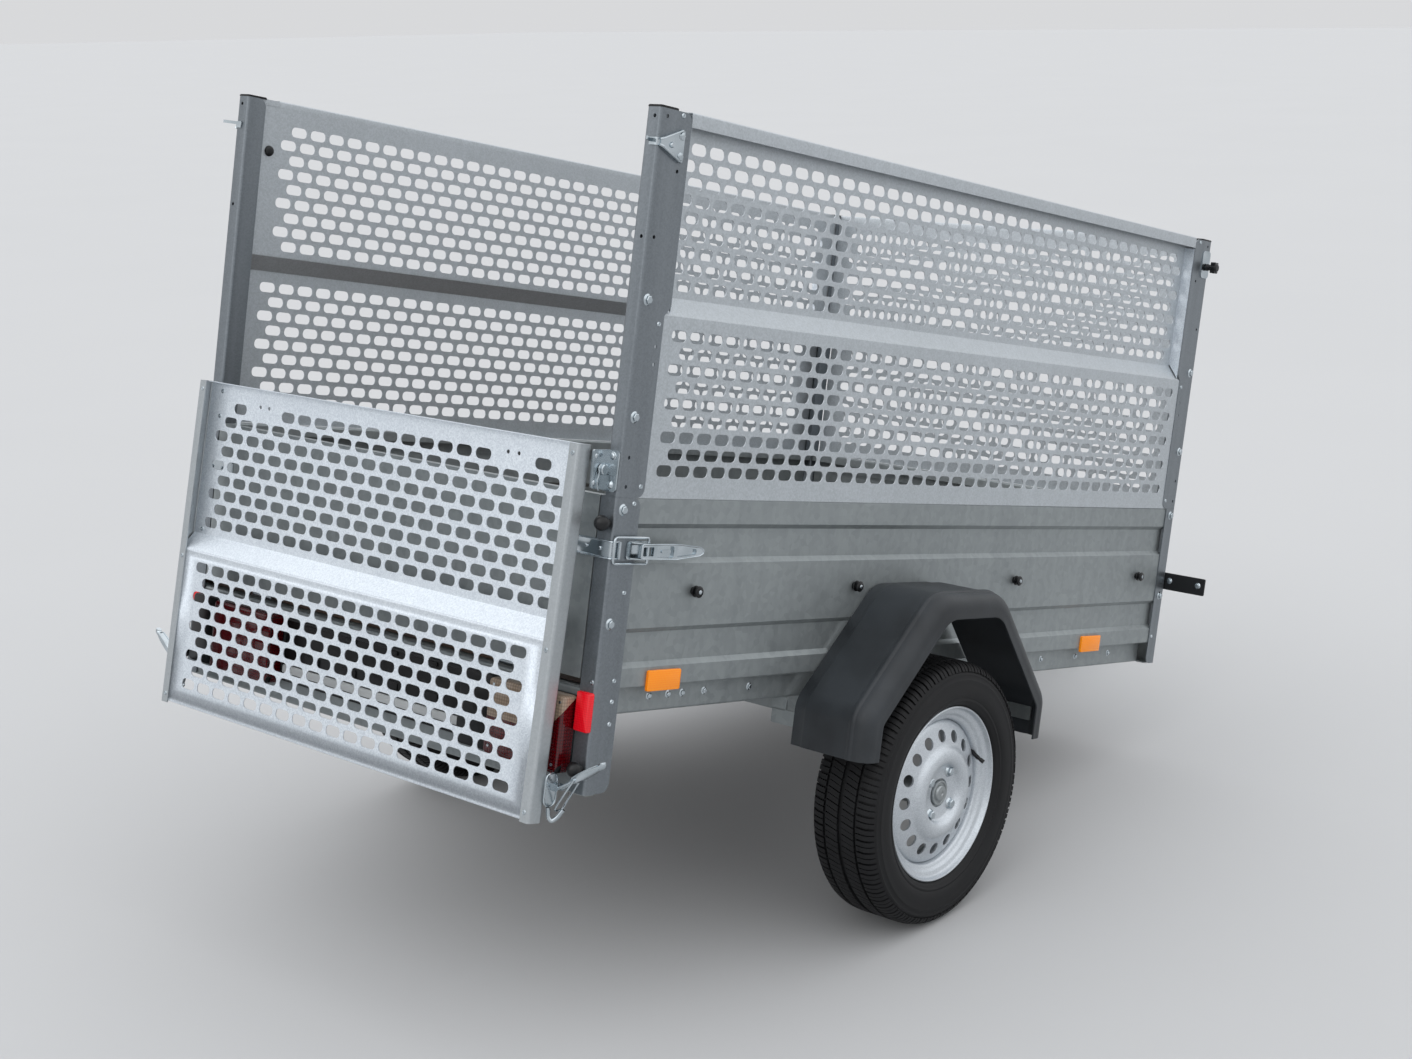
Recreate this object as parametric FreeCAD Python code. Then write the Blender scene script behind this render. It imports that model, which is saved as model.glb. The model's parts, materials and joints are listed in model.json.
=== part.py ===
"""Single-axle box trailer with perforated extension sides and a fold-down perforated gate.

The trailer is modelled level, then turned nose-down about its axle until the coupling rests on
the ground, which is how it parks without a jack. Level frame, in millimetres: X forward with 0 at
the rear face of the corner posts, Y to the left with 0 on the centre line, Z up with 0 on the road.
"""
import FreeCAD, Part
import math
import os

from FreeCAD import Vector

# ---- overall sizes -------------------------------------------------------------------------
BOX_LENGTH = 2080.0        # over the corner posts
BOX_WIDTH = 1146.0         # over the corner posts
WALL_HEIGHT = 338.0        # side wall, top edge to bottom flange
EXTENSION_HEIGHT = 668.0   # extension posts above the box
AXLE_BELOW_TOP = 574.0     # wheel centre below the top edge of the box
AXLE_X = 915.0             # wheel centre ahead of the rear face
DRAWBAR_REACH = 1930.0     # coupling ball centre ahead of the wheel centre
FIT = 0.3                  # gap between parts that are bolted or riveted together
RUNNING = 0.05             # radial clearance of a shaft or pin in its bore

# ---- sheet thicknesses and bends -----------------------------------------------------------
WALL_SHEET = 1.5
POST_SHEET = 2.5
MESH_SHEET = 1.5
FRAME_SHEET = 2.5
BEND = 3.0                 # inside bend radius of posts and rails
MESH_BEND = 2.0
SHALLOW = 60.0             # folds of fewer degrees are pressed without a radius

# ---- corner posts --------------------------------------------------------------------------
POST_BELOW_TOP = 522.0     # bottom of the rear corner posts
POST_WEB = 37.0            # lower post, width of the face that looks rearwards
REAR_POST_SIDE = 62.0      # lower posts, width along the side
FRONT_POST_SIDE = 44.0
EXT_WEB = 32.0             # extension post, width of its web
EXT_OUTER_LEG = 83.0       # above the sheet's step
EXT_LOW_LEG = 68.0         # below it
EXT_STEP = (317.0, 335.0)  # heights above the box between which the leg widens
EXT_INNER_LEG = 45.0
JOINER_TUBE = 25.0         # square tube that stiffens the post joint
JOINER_WALL = 2.0
JOINER_LOW = 240.0         # reach of the joiner below the top of the box
JOINER_HIGH = 360.0
CAP_THICKNESS = 4.0
POST_ROUND = 18.0          # rounded free corners of the post legs
POST_HOLE = 3.5            # radius of the spare holes
# spare holes of an extension post: distance from its end face, height above the box
SIDE_HOLES = ((18.0, 651.0), (58.0, 563.0), (18.0, 447.0), (54.0, 263.0), (54.0, 232.0), (18.0, 69.5),
              (18.0, 19.0))
END_HOLES = ((13.0, 649.0), (13.0, 446.0))   # distance from the outer side, height above the box

# ---- walls ---------------------------------------------------------------------------------
WALL_START = 35.0          # side sheet begins this far inside the post's outer face
TOP_RIM_WIDTH = 28.0       # rolled top rim of a wall
TOP_RIM_DROP = 22.0
GROOVE_DEPTH = 9.0
# heights below the top edge: start of the upper slope, end of the lower slope
GROOVES = ((45.0, 116.0), (231.0, 302.0))
WALL_FOOT = 30.0           # flange under the wall

# ---- floor and chassis ---------------------------------------------------------------------
FLOOR_THICKNESS = 9.0
RAIL_HEIGHT = 52.0
RAIL_FLANGE = 40.0
RAIL_INSET = 26.0          # side rail web inside the outer face of the posts
CROSS_BEARERS = (430.0, 1290.0, 1690.0)   # centres of the hat sections under the floor
BEARER_WIDTH = 60.0
BEARER_FLANGE = 25.0

# ---- drawbar and coupling ------------------------------------------------------------------
DRAWBAR_WIDTH = 60.0
DRAWBAR_HEIGHT = 60.0
DRAWBAR_WALL = 3.0
DRAWBAR_REAR = 700.0       # rear end of the drawbar
BALL_RADIUS = 25.0
BALL_CLEARANCE = 0.4
COUPLING_WALL = 5.0
COUPLING_LENGTH = 230.0
COUPLING_BASE_DROP = 34.0  # lowest lip of the ball cup below the ball centre

# ---- axle and wheels -----------------------------------------------------------------------
TYRE_RADIUS = 273.5
TYRE_WIDTH = 155.0
WHEEL_GAP = 17.5           # posts' outer face to the inner side of the tyre
RIM_RADIUS = 182.0         # over the rim flanges
RIM_BEAD_RADIUS = 165.0
RIM_WIDTH = 130.0          # over the rim flanges
RIM_SHEET = 3.0
HUB_RADIUS = 62.0
SPINDLE_RADIUS = 17.0
BOLT_CIRCLE = 50.0         # radius on which the wheel bolts lie
BOLT_RADIUS = 5.7
VENT_COUNT = 16
VENT_CIRCLE = 112.0        # radius on which the holes of the wheel disc lie
VENT_RADIUS = 10.0
AXLE_TUBE = 60.0
ARM_LENGTH = 150.0
ARM_WIDTH = 22.0

# ---- mudguards -----------------------------------------------------------------------------
MUDGUARD_OVERHANG = 9.5    # outer side of the tyre to the outer face of the mudguard
MUDGUARD_HALF_LENGTH = 338.0
MUDGUARD_TOP_HALF = 118.0  # half length of the flat top
MUDGUARD_CROWN_DROP = 156.0   # crown below the box top
MUDGUARD_FOOT_DROP = 478.0
MUDGUARD_KNEE_DROP = 385.0
MUDGUARD_WALL = 4.0
MUDGUARD_LIP = 50.0
MUDGUARD_ROUND = 30.0      # shoulder between crown and outer face
MUDGUARD_CORNER = 36.0     # corners of the side outline

# ---- tailgate ------------------------------------------------------------------------------
TAILGATE_DEPTH = 24.0
TAILGATE_BOTTOM_DROP = 322.0
TAILGATE_SIDE_GAP = 3.0

# ---- perforated extension ------------------------------------------------------------------
JOGGLE_TOP = 350.0         # height above the box where the sheet steps outwards
JOGGLE_BOTTOM = 319.0
MESH_RIM = 24.0
MESH_TOP_GAP = 4.0

# ---- perforated gate -----------------------------------------------------------------------
GATE_SIDE_GAP = 11.0       # gate to the inner side of the extension posts
GATE_LENGTH = 660.0
GATE_DEPTH = 33.0
GATE_PIN_BEHIND = 12.0     # hinge pin behind the rear face of the posts
GATE_PIN_ABOVE = 45.0      # hinge pin above the box top
GATE_ABOVE_PIN = 39.0      # gate edge beyond the pin
GATE_SETBACK = 20.0        # pin to the near edge of the gate's side channels
GATE_NEAR_FLANGE = 14.0    # flange next to the posts
GATE_FAR_FLANGE = 22.0     # flange that holds the slotted sheet
GATE_LEAN = 2.0            # the hanging gate leans out on the lamps, degrees
PIN_RADIUS = 7.0
GATE_JOGGLE_START = 310.0  # from the hinge edge of the gate
GATE_JOGGLE_END = 341.0

# ---- rear equipment ------------------------------------------------------------------------
LAMP_WIDTH = 238.0
LAMP_HEIGHT = 128.0
LAMP_DEPTH = 38.0
LAMP_TOP_DROP = 352.0
BAR_TOP_DROP = 470.0
BAR_HEIGHT = 56.0
BAR_DEPTH = 30.0
PLATE_WIDTH = 520.0
PLATE_HEIGHT = 113.0

KNOB_RADIUS = 14.0

# ---- derived -------------------------------------------------------------------------------
TOP = TYRE_RADIUS + AXLE_BELOW_TOP
HALF = BOX_WIDTH / 2
WHEEL_CENTRE_Y = HALF + WHEEL_GAP + TYRE_WIDTH / 2
MUDGUARD_OUTER = WHEEL_CENTRE_Y + TYRE_WIDTH / 2 + MUDGUARD_OVERHANG
GATE_HALF_WIDTH = HALF - EXT_WEB - GATE_SIDE_GAP
WALL_BOTTOM = TOP - WALL_HEIGHT
RAIL_BOTTOM = WALL_BOTTOM - FIT - RAIL_HEIGHT
FLOOR_BOTTOM = WALL_BOTTOM + WALL_SHEET + FIT
COUPLING_X = AXLE_X + DRAWBAR_REACH


# ==== helpers ===============================================================================
def block(x0, x1, y0, y1, z0, z1):
    return Part.makeBox(x1 - x0, y1 - y0, z1 - z0, Vector(x0, y0, z0))


def lay(plane, u, v, along):
    """Point (u, v) of a plane named by its two axes, at a distance along the third."""
    return {"yz": Vector(along, u, v), "xz": Vector(u, along, v), "xy": Vector(u, v, along)}[plane]


def push(plane, distance):
    return {"yz": Vector(distance, 0, 0), "xz": Vector(0, distance, 0), "xy": Vector(0, 0, distance)}[plane]


def prism(points, plane, start, end):
    """Straight-edged outline pushed from start to end."""
    ring = [lay(plane, u, v, start) for u, v in points]
    return Part.Face(Part.makePolygon(ring + ring[:1])).extrude(push(plane, end - start))


def folded_sheet(points, sheet, bend, plane, start, end):
    """A strip of sheet folded along points, lying to the left of that path.

    Folds sharper than SHALLOW get the bend radius, unless it is 0; shallower ones are pressed sharp.
    """
    flats = [Vector(u, v, 0) for u, v in points]
    runs = [(b - a).normalize() for a, b in zip(flats, flats[1:])]
    lefts = [Vector(-d.y, d.x, 0) for d in runs]
    near = [(flats[0],)]
    far = [(flats[0] + lefts[0] * sheet,)]
    for i in range(1, len(flats) - 1):
        turn = math.atan2(runs[i - 1].cross(runs[i]).z, runs[i - 1].dot(runs[i]))
        if bend == 0 or abs(turn) < math.radians(SHALLOW):
            near.append((flats[i],))
            far.append((flats[i] + (lefts[i - 1] + lefts[i]) * (sheet / (1 + lefts[i - 1].dot(lefts[i]))),))
            continue
        side = 1 if turn > 0 else -1
        near_radius = bend + sheet if turn > 0 else bend
        far_radius = bend if turn > 0 else bend + sheet
        setback = near_radius * math.tan(abs(turn) / 2)
        first = flats[i] - runs[i - 1] * setback
        centre = first + lefts[i - 1] * side * near_radius
        last = flats[i] + runs[i] * setback
        spokes = [(p - centre).normalize() for p in (first, flats[i], last)]
        near.append(tuple(centre + s * near_radius for s in spokes))
        far.append(tuple(centre + s * far_radius for s in spokes))
    near.append((flats[-1],))
    far.append((flats[-1] + lefts[-1] * sheet,))
    stations = near + [s[::-1] for s in far[::-1]]
    placed = [tuple(lay(plane, p.x, p.y, start) for p in s) for s in stations]
    edges = []
    for here, after in zip(placed, placed[1:] + placed[:1]):
        if len(here) == 3:
            edges.append(Part.Arc(*here).toShape())
        edges.append(Part.makeLine(here[-1], after[0]))
    return Part.Face(Part.Wire(edges)).extrude(push(plane, end - start))


def mirrored(shape):
    return shape.mirror(Vector(0, 0, 0), Vector(0, 1, 0))


def pair(shape):
    """The piece and its mirror image on the other side, as two solids that don't touch."""
    return Part.makeCompound([shape, mirrored(shape)])


def rod(x, y, z, radius, length, axis):
    direction = {"x": Vector(1, 0, 0), "y": Vector(0, 1, 0), "z": Vector(0, 0, 1)}[axis]
    return Part.makeCylinder(radius, length, Vector(x, y, z), direction)


def tube_box(x0, x1, y0, y1, z0, z1, wall, axis):
    """Rectangular tube, open at both ends along its axis."""
    grow = {"x": (0, wall, wall), "y": (wall, 0, wall), "z": (wall, wall, 0)}[axis]
    inner = block(x0 + grow[0], x1 - grow[0], y0 + grow[1], y1 - grow[1], z0 + grow[2], z1 - grow[2])
    return block(x0, x1, y0, y1, z0, z1).cut(inner)


def round_edges(shape, radius, picks):
    """Round every edge whose middle lies at one of the (x, z) picks and that runs along Y."""
    chosen = []
    for edge in shape.Edges:
        middle = edge.BoundBox.Center
        along_y = edge.BoundBox.XLength < 0.01 and edge.BoundBox.ZLength < 0.01
        if along_y and any(abs(middle.x - x) < 0.1 and abs(middle.z - z) < 0.1 for x, z in picks):
            chosen.append(edge)
    return shape.makeFillet(radius, chosen) if chosen else shape


def revolved(points, y_centre):
    """Outline of (radius, offset along Y) points turned about the wheel axis."""
    ring = [Vector(AXLE_X, y_centre + offset, TYRE_RADIUS + radius) for radius, offset in points]
    face = Part.Face(Part.makePolygon(ring + ring[:1]))
    return face.revolve(Vector(AXLE_X, 0, TYRE_RADIUS), Vector(0, 1, 0), 360)


# ==== corner posts ==========================================================================
def rear_corner_post():
    path = [(0, -HALF + POST_WEB), (0, -HALF), (REAR_POST_SIDE, -HALF)]
    post = folded_sheet(path, POST_SHEET, BEND, "xy", TOP - POST_BELOW_TOP, TOP)
    corners = [(REAR_POST_SIDE, TOP - POST_BELOW_TOP), (REAR_POST_SIDE, TOP)]
    return round_edges(post, POST_ROUND, corners)


def front_corner_post():
    path = [(BOX_LENGTH - FRONT_POST_SIDE, -HALF), (BOX_LENGTH, -HALF), (BOX_LENGTH, -HALF + POST_WEB)]
    post = folded_sheet(path, POST_SHEET, BEND, "xy", RAIL_BOTTOM, TOP)
    return round_edges(post, POST_ROUND, [(BOX_LENGTH - FRONT_POST_SIDE, RAIL_BOTTOM)])


def extension_post(front):
    """Channel that opens towards the middle of the trailer and holds the end of the side sheet."""
    inner = -HALF + EXT_WEB
    path = [(EXT_INNER_LEG, inner), (0, inner), (0, -HALF), (EXT_OUTER_LEG, -HALF)]
    z0 = TOP + FIT
    z1 = TOP + EXTENSION_HEIGHT - CAP_THICKNESS
    post = folded_sheet(path, POST_SHEET, BEND, "xy", z0, z1)
    low, high = EXT_STEP
    notch = [(EXT_LOW_LEG, z0 - 1), (EXT_LOW_LEG, TOP + low), (EXT_OUTER_LEG + 1, TOP + high),
             (EXT_OUTER_LEG + 1, z0 - 1)]
    post = post.cut(prism(notch, "xz", -HALF - 1, -HALF + POST_SHEET + 1))
    picks = [(EXT_OUTER_LEG, z1), (EXT_INNER_LEG, z1), (EXT_LOW_LEG, z0)]
    post = round_edges(post, POST_ROUND, picks)
    for x, height in SIDE_HOLES:
        post = post.cut(eight_sided(x, -HALF - 1, TOP + height, POST_HOLE, POST_SHEET + 2))
    for y, height in END_HOLES:
        post = post.cut(eight_sided(-HALF + y, -1, TOP + height, POST_HOLE, POST_SHEET + 2, plane="yz"))
    if front:
        post = post.mirror(Vector(BOX_LENGTH / 2, 0, 0), Vector(1, 0, 0))
    return post


def post_caps():
    """Flat plastic plug on the end of each extension post."""
    z0 = TOP + EXTENSION_HEIGHT - CAP_THICKNESS
    depth = EXT_INNER_LEG + POST_SHEET
    cap = block(0, depth, -HALF, -HALF + EXT_WEB, z0, z0 + CAP_THICKNESS)
    front = cap.mirror(Vector(BOX_LENGTH / 2, 0, 0), Vector(1, 0, 0))
    return Part.makeCompound([cap, mirrored(cap), front, mirrored(front)])


def post_joiners():
    """Square tube inside each corner, across the joint between lower and extension post."""
    y0 = -HALF + POST_SHEET + FIT
    x0 = POST_SHEET + FIT
    size = JOINER_TUBE
    z0 = TOP - JOINER_LOW
    z1 = TOP + JOINER_HIGH
    outer = block(x0, x0 + size, y0, y0 + size, z0, z1)
    outer = outer.makeChamfer(BEND, [e for e in outer.Edges if e.BoundBox.ZLength > size])
    w = JOINER_WALL
    tube = outer.cut(block(x0 + w, x0 + size - w, y0 + w, y0 + size - w, z0, z1))
    front = tube.mirror(Vector(BOX_LENGTH / 2, 0, 0), Vector(1, 0, 0))
    return Part.makeCompound([tube, mirrored(tube), front, mirrored(front)])


# ==== walls =================================================================================
def wall_outline():
    """Outer face of a wall as (depth inwards, height) points, from the rim's lip to the foot."""
    points = [(TOP_RIM_WIDTH, TOP - TOP_RIM_DROP), (TOP_RIM_WIDTH, TOP), (0, TOP)]
    for start, end in GROOVES:
        points += [(0, TOP - start), (GROOVE_DEPTH, TOP - start - GROOVE_DEPTH)]
        points += [(GROOVE_DEPTH, TOP - end + GROOVE_DEPTH), (0, TOP - end)]
    points += [(0, WALL_BOTTOM), (WALL_FOOT, WALL_BOTTOM)]
    return points


def side_wall():
    face = -HALF + POST_SHEET
    path = [(face + depth, height) for depth, height in wall_outline()]
    return folded_sheet(path, WALL_SHEET, MESH_BEND, "yz", WALL_START, BOX_LENGTH - WALL_START)


def front_wall():
    face = BOX_LENGTH - POST_SHEET
    reach = HALF - WALL_START
    path = [(face - depth, height) for depth, height in wall_outline()][::-1]
    return folded_sheet(path, WALL_SHEET, MESH_BEND, "xz", -reach, reach)


def tailgate():
    """Pan with folded edges that closes the rear between the posts."""
    reach = HALF - POST_WEB - TAILGATE_SIDE_GAP
    z0 = TOP - TAILGATE_BOTTOM_DROP
    outer = block(0, TAILGATE_DEPTH, -reach, reach, z0, TOP)
    inner = block(WALL_SHEET, TAILGATE_DEPTH, -reach + WALL_SHEET, reach - WALL_SHEET, z0 + WALL_SHEET,
                  TOP - WALL_SHEET)
    return outer.cut(inner)


# ==== floor and chassis =====================================================================
def floor_panel():
    inset = WALL_SHEET + POST_SHEET + MESH_BEND + FIT
    return block(TAILGATE_DEPTH + FIT, BOX_LENGTH - inset, -HALF + inset, HALF - inset, FLOOR_BOTTOM,
                 FLOOR_BOTTOM + FLOOR_THICKNESS)


def side_rail():
    """C section under the side wall, open inwards."""
    web = -HALF + RAIL_INSET
    z0 = RAIL_BOTTOM
    z1 = WALL_BOTTOM - FIT
    path = [(web + RAIL_FLANGE, z1), (web, z1), (web, z0), (web + RAIL_FLANGE, z0)]
    x0 = POST_SHEET + RAIL_FLANGE + 2 * FIT
    return folded_sheet(path, FRAME_SHEET, BEND, "yz", x0, BOX_LENGTH - x0)


def end_rail(front):
    """C section across one end of the chassis, open towards the middle."""
    z0 = RAIL_BOTTOM
    z1 = WALL_BOTTOM - FIT
    x0 = POST_SHEET + FIT
    reach = HALF - POST_SHEET - BEND - FIT
    path = [(x0 + RAIL_FLANGE, z1), (x0, z1), (x0, z0), (x0 + RAIL_FLANGE, z0)]
    rail = folded_sheet(path, FRAME_SHEET, BEND, "xz", -reach, reach)
    if front:
        rail = rail.mirror(Vector(BOX_LENGTH / 2, 0, 0), Vector(1, 0, 0))
    return rail


def floor_bearers():
    """Hat sections across the chassis that carry the floor between the side rails."""
    reach = HALF - RAIL_INSET - FRAME_SHEET - FIT
    z1 = WALL_BOTTOM + WALL_SHEET
    z0 = z1 - RAIL_HEIGHT + 2 * FRAME_SHEET
    solids = []
    for centre in CROSS_BEARERS:
        a = centre - BEARER_WIDTH / 2
        b = centre + BEARER_WIDTH / 2
        low = z0
        path = [(b + BEARER_FLANGE, low), (b, low), (b, z1), (a, z1), (a, low), (a - BEARER_FLANGE, low)]
        solids.append(folded_sheet(path, FRAME_SHEET, 0, "xz", -reach + RAIL_FLANGE, reach - RAIL_FLANGE))
    return Part.makeCompound(solids)


def drawbar():
    half = DRAWBAR_WIDTH / 2
    z1 = RAIL_BOTTOM - FIT
    x1 = COUPLING_X - COUPLING_LENGTH + 120
    return tube_box(DRAWBAR_REAR, x1, -half, half, z1 - DRAWBAR_HEIGHT, z1, DRAWBAR_WALL, "x")


def coupling_head():
    """Pressed coupling: a shell over the drawbar end and a cup for the ball."""
    half = DRAWBAR_WIDTH / 2
    z1 = RAIL_BOTTOM - FIT
    x0 = COUPLING_X - COUPLING_LENGTH
    x1 = COUPLING_X - COUPLING_LENGTH + 120
    centre = Vector(COUPLING_X, 0, z1 - DRAWBAR_HEIGHT / 2)
    sleeve = block(x0, x1 + FIT, -half - COUPLING_WALL, half + COUPLING_WALL,
                   z1 - DRAWBAR_HEIGHT + 10, z1 + COUPLING_WALL)
    sleeve = sleeve.cut(block(x0 - 1, x1, -half, half, z1 - DRAWBAR_HEIGHT - 1, z1))
    outer = BALL_RADIUS + BALL_CLEARANCE + COUPLING_WALL
    top = centre.z + BALL_RADIUS + BALL_CLEARANCE + COUPLING_WALL
    lip = centre.z - COUPLING_BASE_DROP
    skirt = Part.makeCylinder(outer, centre.z + 8 - lip, Vector(centre.x, 0, lip))
    crown = Part.makeCone(outer, outer * 0.88, top - centre.z - 8, Vector(centre.x, 0, centre.z + 8))
    neck = prism([(x1, -half - COUPLING_WALL), (COUPLING_X, -outer), (COUPLING_X, outer),
                  (x1, half + COUPLING_WALL)], "xy", centre.z - 18, centre.z + 18)
    bore = BALL_RADIUS + BALL_CLEARANCE
    mouth = Part.makeCylinder(bore, centre.z + bore - lip + 1, Vector(centre.x, 0, lip - 1))
    return skirt.fuse(crown).fuse(neck).fuse(sleeve).cut(mouth).removeSplitter()


# ==== axle and wheels =======================================================================
def axle_place():
    """Centre of the axle beam, which lies right under the drawbar."""
    z = RAIL_BOTTOM - FIT - DRAWBAR_HEIGHT - FIT - AXLE_TUBE / 2
    rise = z - TYRE_RADIUS
    return AXLE_X + math.sqrt(ARM_LENGTH ** 2 - rise ** 2), z


def arm_y():
    """Inner face of the trailing arm."""
    return HALF - RAIL_INSET - 8


def axle_beam():
    x, z = axle_place()
    half = AXLE_TUBE / 2
    reach = arm_y() - FIT
    return tube_box(x - half, x + half, -reach, reach, z - half, z + half, 4.0, "y")


def axle_hangers():
    """Plates that bolt the axle beam under the side rails."""
    x, z = axle_place()
    y = -arm_y() + FIT
    half = AXLE_TUBE / 2
    z0 = z + half + FIT
    seat = block(x - 55, x + 55, y, y + RAIL_FLANGE, z0, z0 + 6)
    top = block(x - 55, x + 55, y, y + RAIL_FLANGE, RAIL_BOTTOM - FIT - 4, RAIL_BOTTOM - FIT)
    web = block(x - 45, x + 45, y + 17, y + 23, z0 + 6, RAIL_BOTTOM - FIT - 4)
    return pair(seat.fuse(top).fuse(web).removeSplitter())


def trailing_arm():
    """Forged arm from the axle beam down to the stub axle, with the stub on it."""
    x, z = axle_place()
    y0 = -arm_y() - ARM_WIDTH
    big = rod(x, y0, z, 34, ARM_WIDTH, "y")
    small = rod(AXLE_X, y0, TYRE_RADIUS, 27, ARM_WIDTH, "y")
    run = Vector(AXLE_X - x, 0, TYRE_RADIUS - z)
    side = Vector(-run.z, 0, run.x).normalize()
    start = Vector(x, y0, z)
    end = Vector(AXLE_X, y0, TYRE_RADIUS)
    ring = [start + side * 30, start - side * 30, end - side * 24, end + side * 24]
    web = Part.Face(Part.makePolygon(ring + ring[:1])).extrude(Vector(0, ARM_WIDTH, 0))
    stub = rod(AXLE_X, -WHEEL_CENTRE_Y - 20, TYRE_RADIUS, SPINDLE_RADIUS, WHEEL_CENTRE_Y + 20 + y0, "y")
    return big.fuse(small).fuse(web).fuse(stub).removeSplitter()


def tyre():
    """Tyre body down to its bead seats; the rim closes the space inside."""
    half = TYRE_WIDTH / 2
    bead = RIM_WIDTH / 2 - RIM_SHEET - FIT
    side = [(RIM_BEAD_RADIUS + FIT, bead), (RIM_RADIUS + FIT, bead), (RIM_RADIUS + 44, half),
            (TYRE_RADIUS - 17, half), (TYRE_RADIUS, half - 20)]
    return revolved([(r, -y) for r, y in side] + side[::-1], -WHEEL_CENTRE_Y)


def rim():
    """Steel rim with drop well, and its pressed disc; outwards is the negative offset."""
    half = RIM_WIDTH / 2
    t = RIM_SHEET
    bead = RIM_BEAD_RADIUS
    barrel = [(RIM_RADIUS, -half), (RIM_RADIUS, -half + t), (bead, -half + t), (bead, half - t),
              (RIM_RADIUS, half - t), (RIM_RADIUS, half), (bead - t, half), (bead - t, -half)]
    disc = [(bead - t / 2, -18), (bead - t / 2, -14), (81, -14), (81, -26), (32, -26), (32, -30), (85, -30),
            (85, -18)]
    shape = revolved(barrel, -WHEEL_CENTRE_Y).fuse(revolved(disc, -WHEEL_CENTRE_Y))
    for x, z in ring_places(VENT_COUNT, VENT_CIRCLE):
        shape = shape.cut(eight_sided(x, -WHEEL_CENTRE_Y - 60, z, VENT_RADIUS, 60))
    for x, z in ring_places(4, BOLT_CIRCLE, 45):
        shape = shape.cut(eight_sided(x, -WHEEL_CENTRE_Y - 60, z, BOLT_RADIUS + 2 * FIT, 60))
    return shape.removeSplitter()


def eight_sided(u, start, v, radius, length, sides=8, plane="xz"):
    """Prism across a plane, round a hole or a bolt at (u, v), with flats for a plain mesh."""
    turns = [2 * math.pi * (i + 0.5) / sides for i in range(sides)]
    ring = [(u + radius * math.cos(a), v + radius * math.sin(a)) for a in turns]
    return prism(ring, plane, start, start + length)


def ring_places(count, radius, start=0):
    """Places (x, z) spread round the wheel axis."""
    turns = [math.radians(start + 360 * i / count) for i in range(count)]
    return [(AXLE_X + radius * math.cos(a), TYRE_RADIUS + radius * math.sin(a)) for a in turns]


def hub():
    """Flanged hub that turns on the stub axle, with its dust cap and the wheel bolts."""
    y = -WHEEL_CENTRE_Y
    bore = SPINDLE_RADIUS + RUNNING
    face = -26 + FIT
    body = [(bore, 40), (bore, -22), (0, -22), (0, -56), (26, -56), (26, face), (HUB_RADIUS, face),
            (HUB_RADIUS, -14), (35, -14), (35, 40)]
    shape = revolved(body, y)
    for x, z in ring_places(4, BOLT_CIRCLE, 45):
        head = eight_sided(x, y - 42, z, 9.5, 12 - FIT, 6)
        shape = shape.fuse(head.fuse(eight_sided(x, y - 31, z, BOLT_RADIUS, 6, 6)))
    return shape


# ==== mudguards =============================================================================
def arch_outline(inset, foot):
    """Side view of the mudguard's outer skin, moved inwards by inset, as (x, z) points."""
    slope = math.atan2(MUDGUARD_KNEE_DROP - MUDGUARD_CROWN_DROP, MUDGUARD_HALF_LENGTH - MUDGUARD_TOP_HALF)
    knee = inset * math.tan(math.radians(45) - slope / 2)
    crown = inset * math.tan(slope / 2)
    half = [(MUDGUARD_HALF_LENGTH - inset, TOP - MUDGUARD_FOOT_DROP - foot),
            (MUDGUARD_HALF_LENGTH - inset, TOP - MUDGUARD_KNEE_DROP - knee),
            (MUDGUARD_TOP_HALF - crown, TOP - MUDGUARD_CROWN_DROP - inset)]
    left = [(AXLE_X - x, z) for x, z in half]
    right = [(AXLE_X + x, z) for x, z in half[::-1]]
    return left + right


def arch_block(inset, foot, y0, y1, radius):
    """Solid arch between two planes, its four upper corners rounded."""
    outline = arch_outline(inset, foot)
    shape = prism(outline, "xz", y0, y1)
    picks = outline[1:5]
    return round_edges(shape, radius, picks)


def mudguard():
    """One moulded shell: crown, two slopes and two drops, with a rounded edge and an outer lip."""
    y0 = -MUDGUARD_OUTER
    y1 = -HALF - FIT
    outer = arch_block(0, 0, y0, y1, MUDGUARD_CORNER)
    outer = outer.makeFillet(MUDGUARD_ROUND, shoulder_edges(outer, y0))
    inner = prism(arch_outline(MUDGUARD_WALL, 1), "xz", y0 + MUDGUARD_WALL, y1 + 1)
    inner = inner.makeChamfer(0.55 * MUDGUARD_ROUND, shoulder_edges(inner, y0 + MUDGUARD_WALL))
    opening = arch_block(MUDGUARD_LIP, 2, y0 - 1, y1, 0.5 * MUDGUARD_CORNER)
    return outer.cut(inner).cut(opening).removeSplitter()


def shoulder_edges(shape, y):
    """The long edge between an arch's flat side at y and its crown."""
    foot = shape.BoundBox.ZMin + 1
    return [e for e in shape.Edges if abs(e.BoundBox.YMin - y) < 0.01 and e.BoundBox.YLength < 0.01
            and e.BoundBox.ZMax > foot]


def mudguard_brackets():
    """Flat bars that reach out from the side rail and carry each mudguard's ends."""
    solids = []
    for sign in (-1, 1):
        x = AXLE_X + sign * (MUDGUARD_HALF_LENGTH - MUDGUARD_WALL - FIT)
        x0 = min(x, x - sign * 4)
        inner = -HALF + RAIL_INSET + RAIL_FLANGE
        z1 = TOP - MUDGUARD_KNEE_DROP - 32
        bar = block(x0, x0 + 4, -MUDGUARD_OUTER + 60, inner, z1 - 30, z1)
        tab = block(x0, x0 + 4, -HALF + RAIL_INSET, inner, z1, RAIL_BOTTOM - FIT)
        bar = bar.fuse(tab).removeSplitter()
        solids.append(bar)
        solids.append(mirrored(bar))
    return Part.makeCompound(solids)


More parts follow.
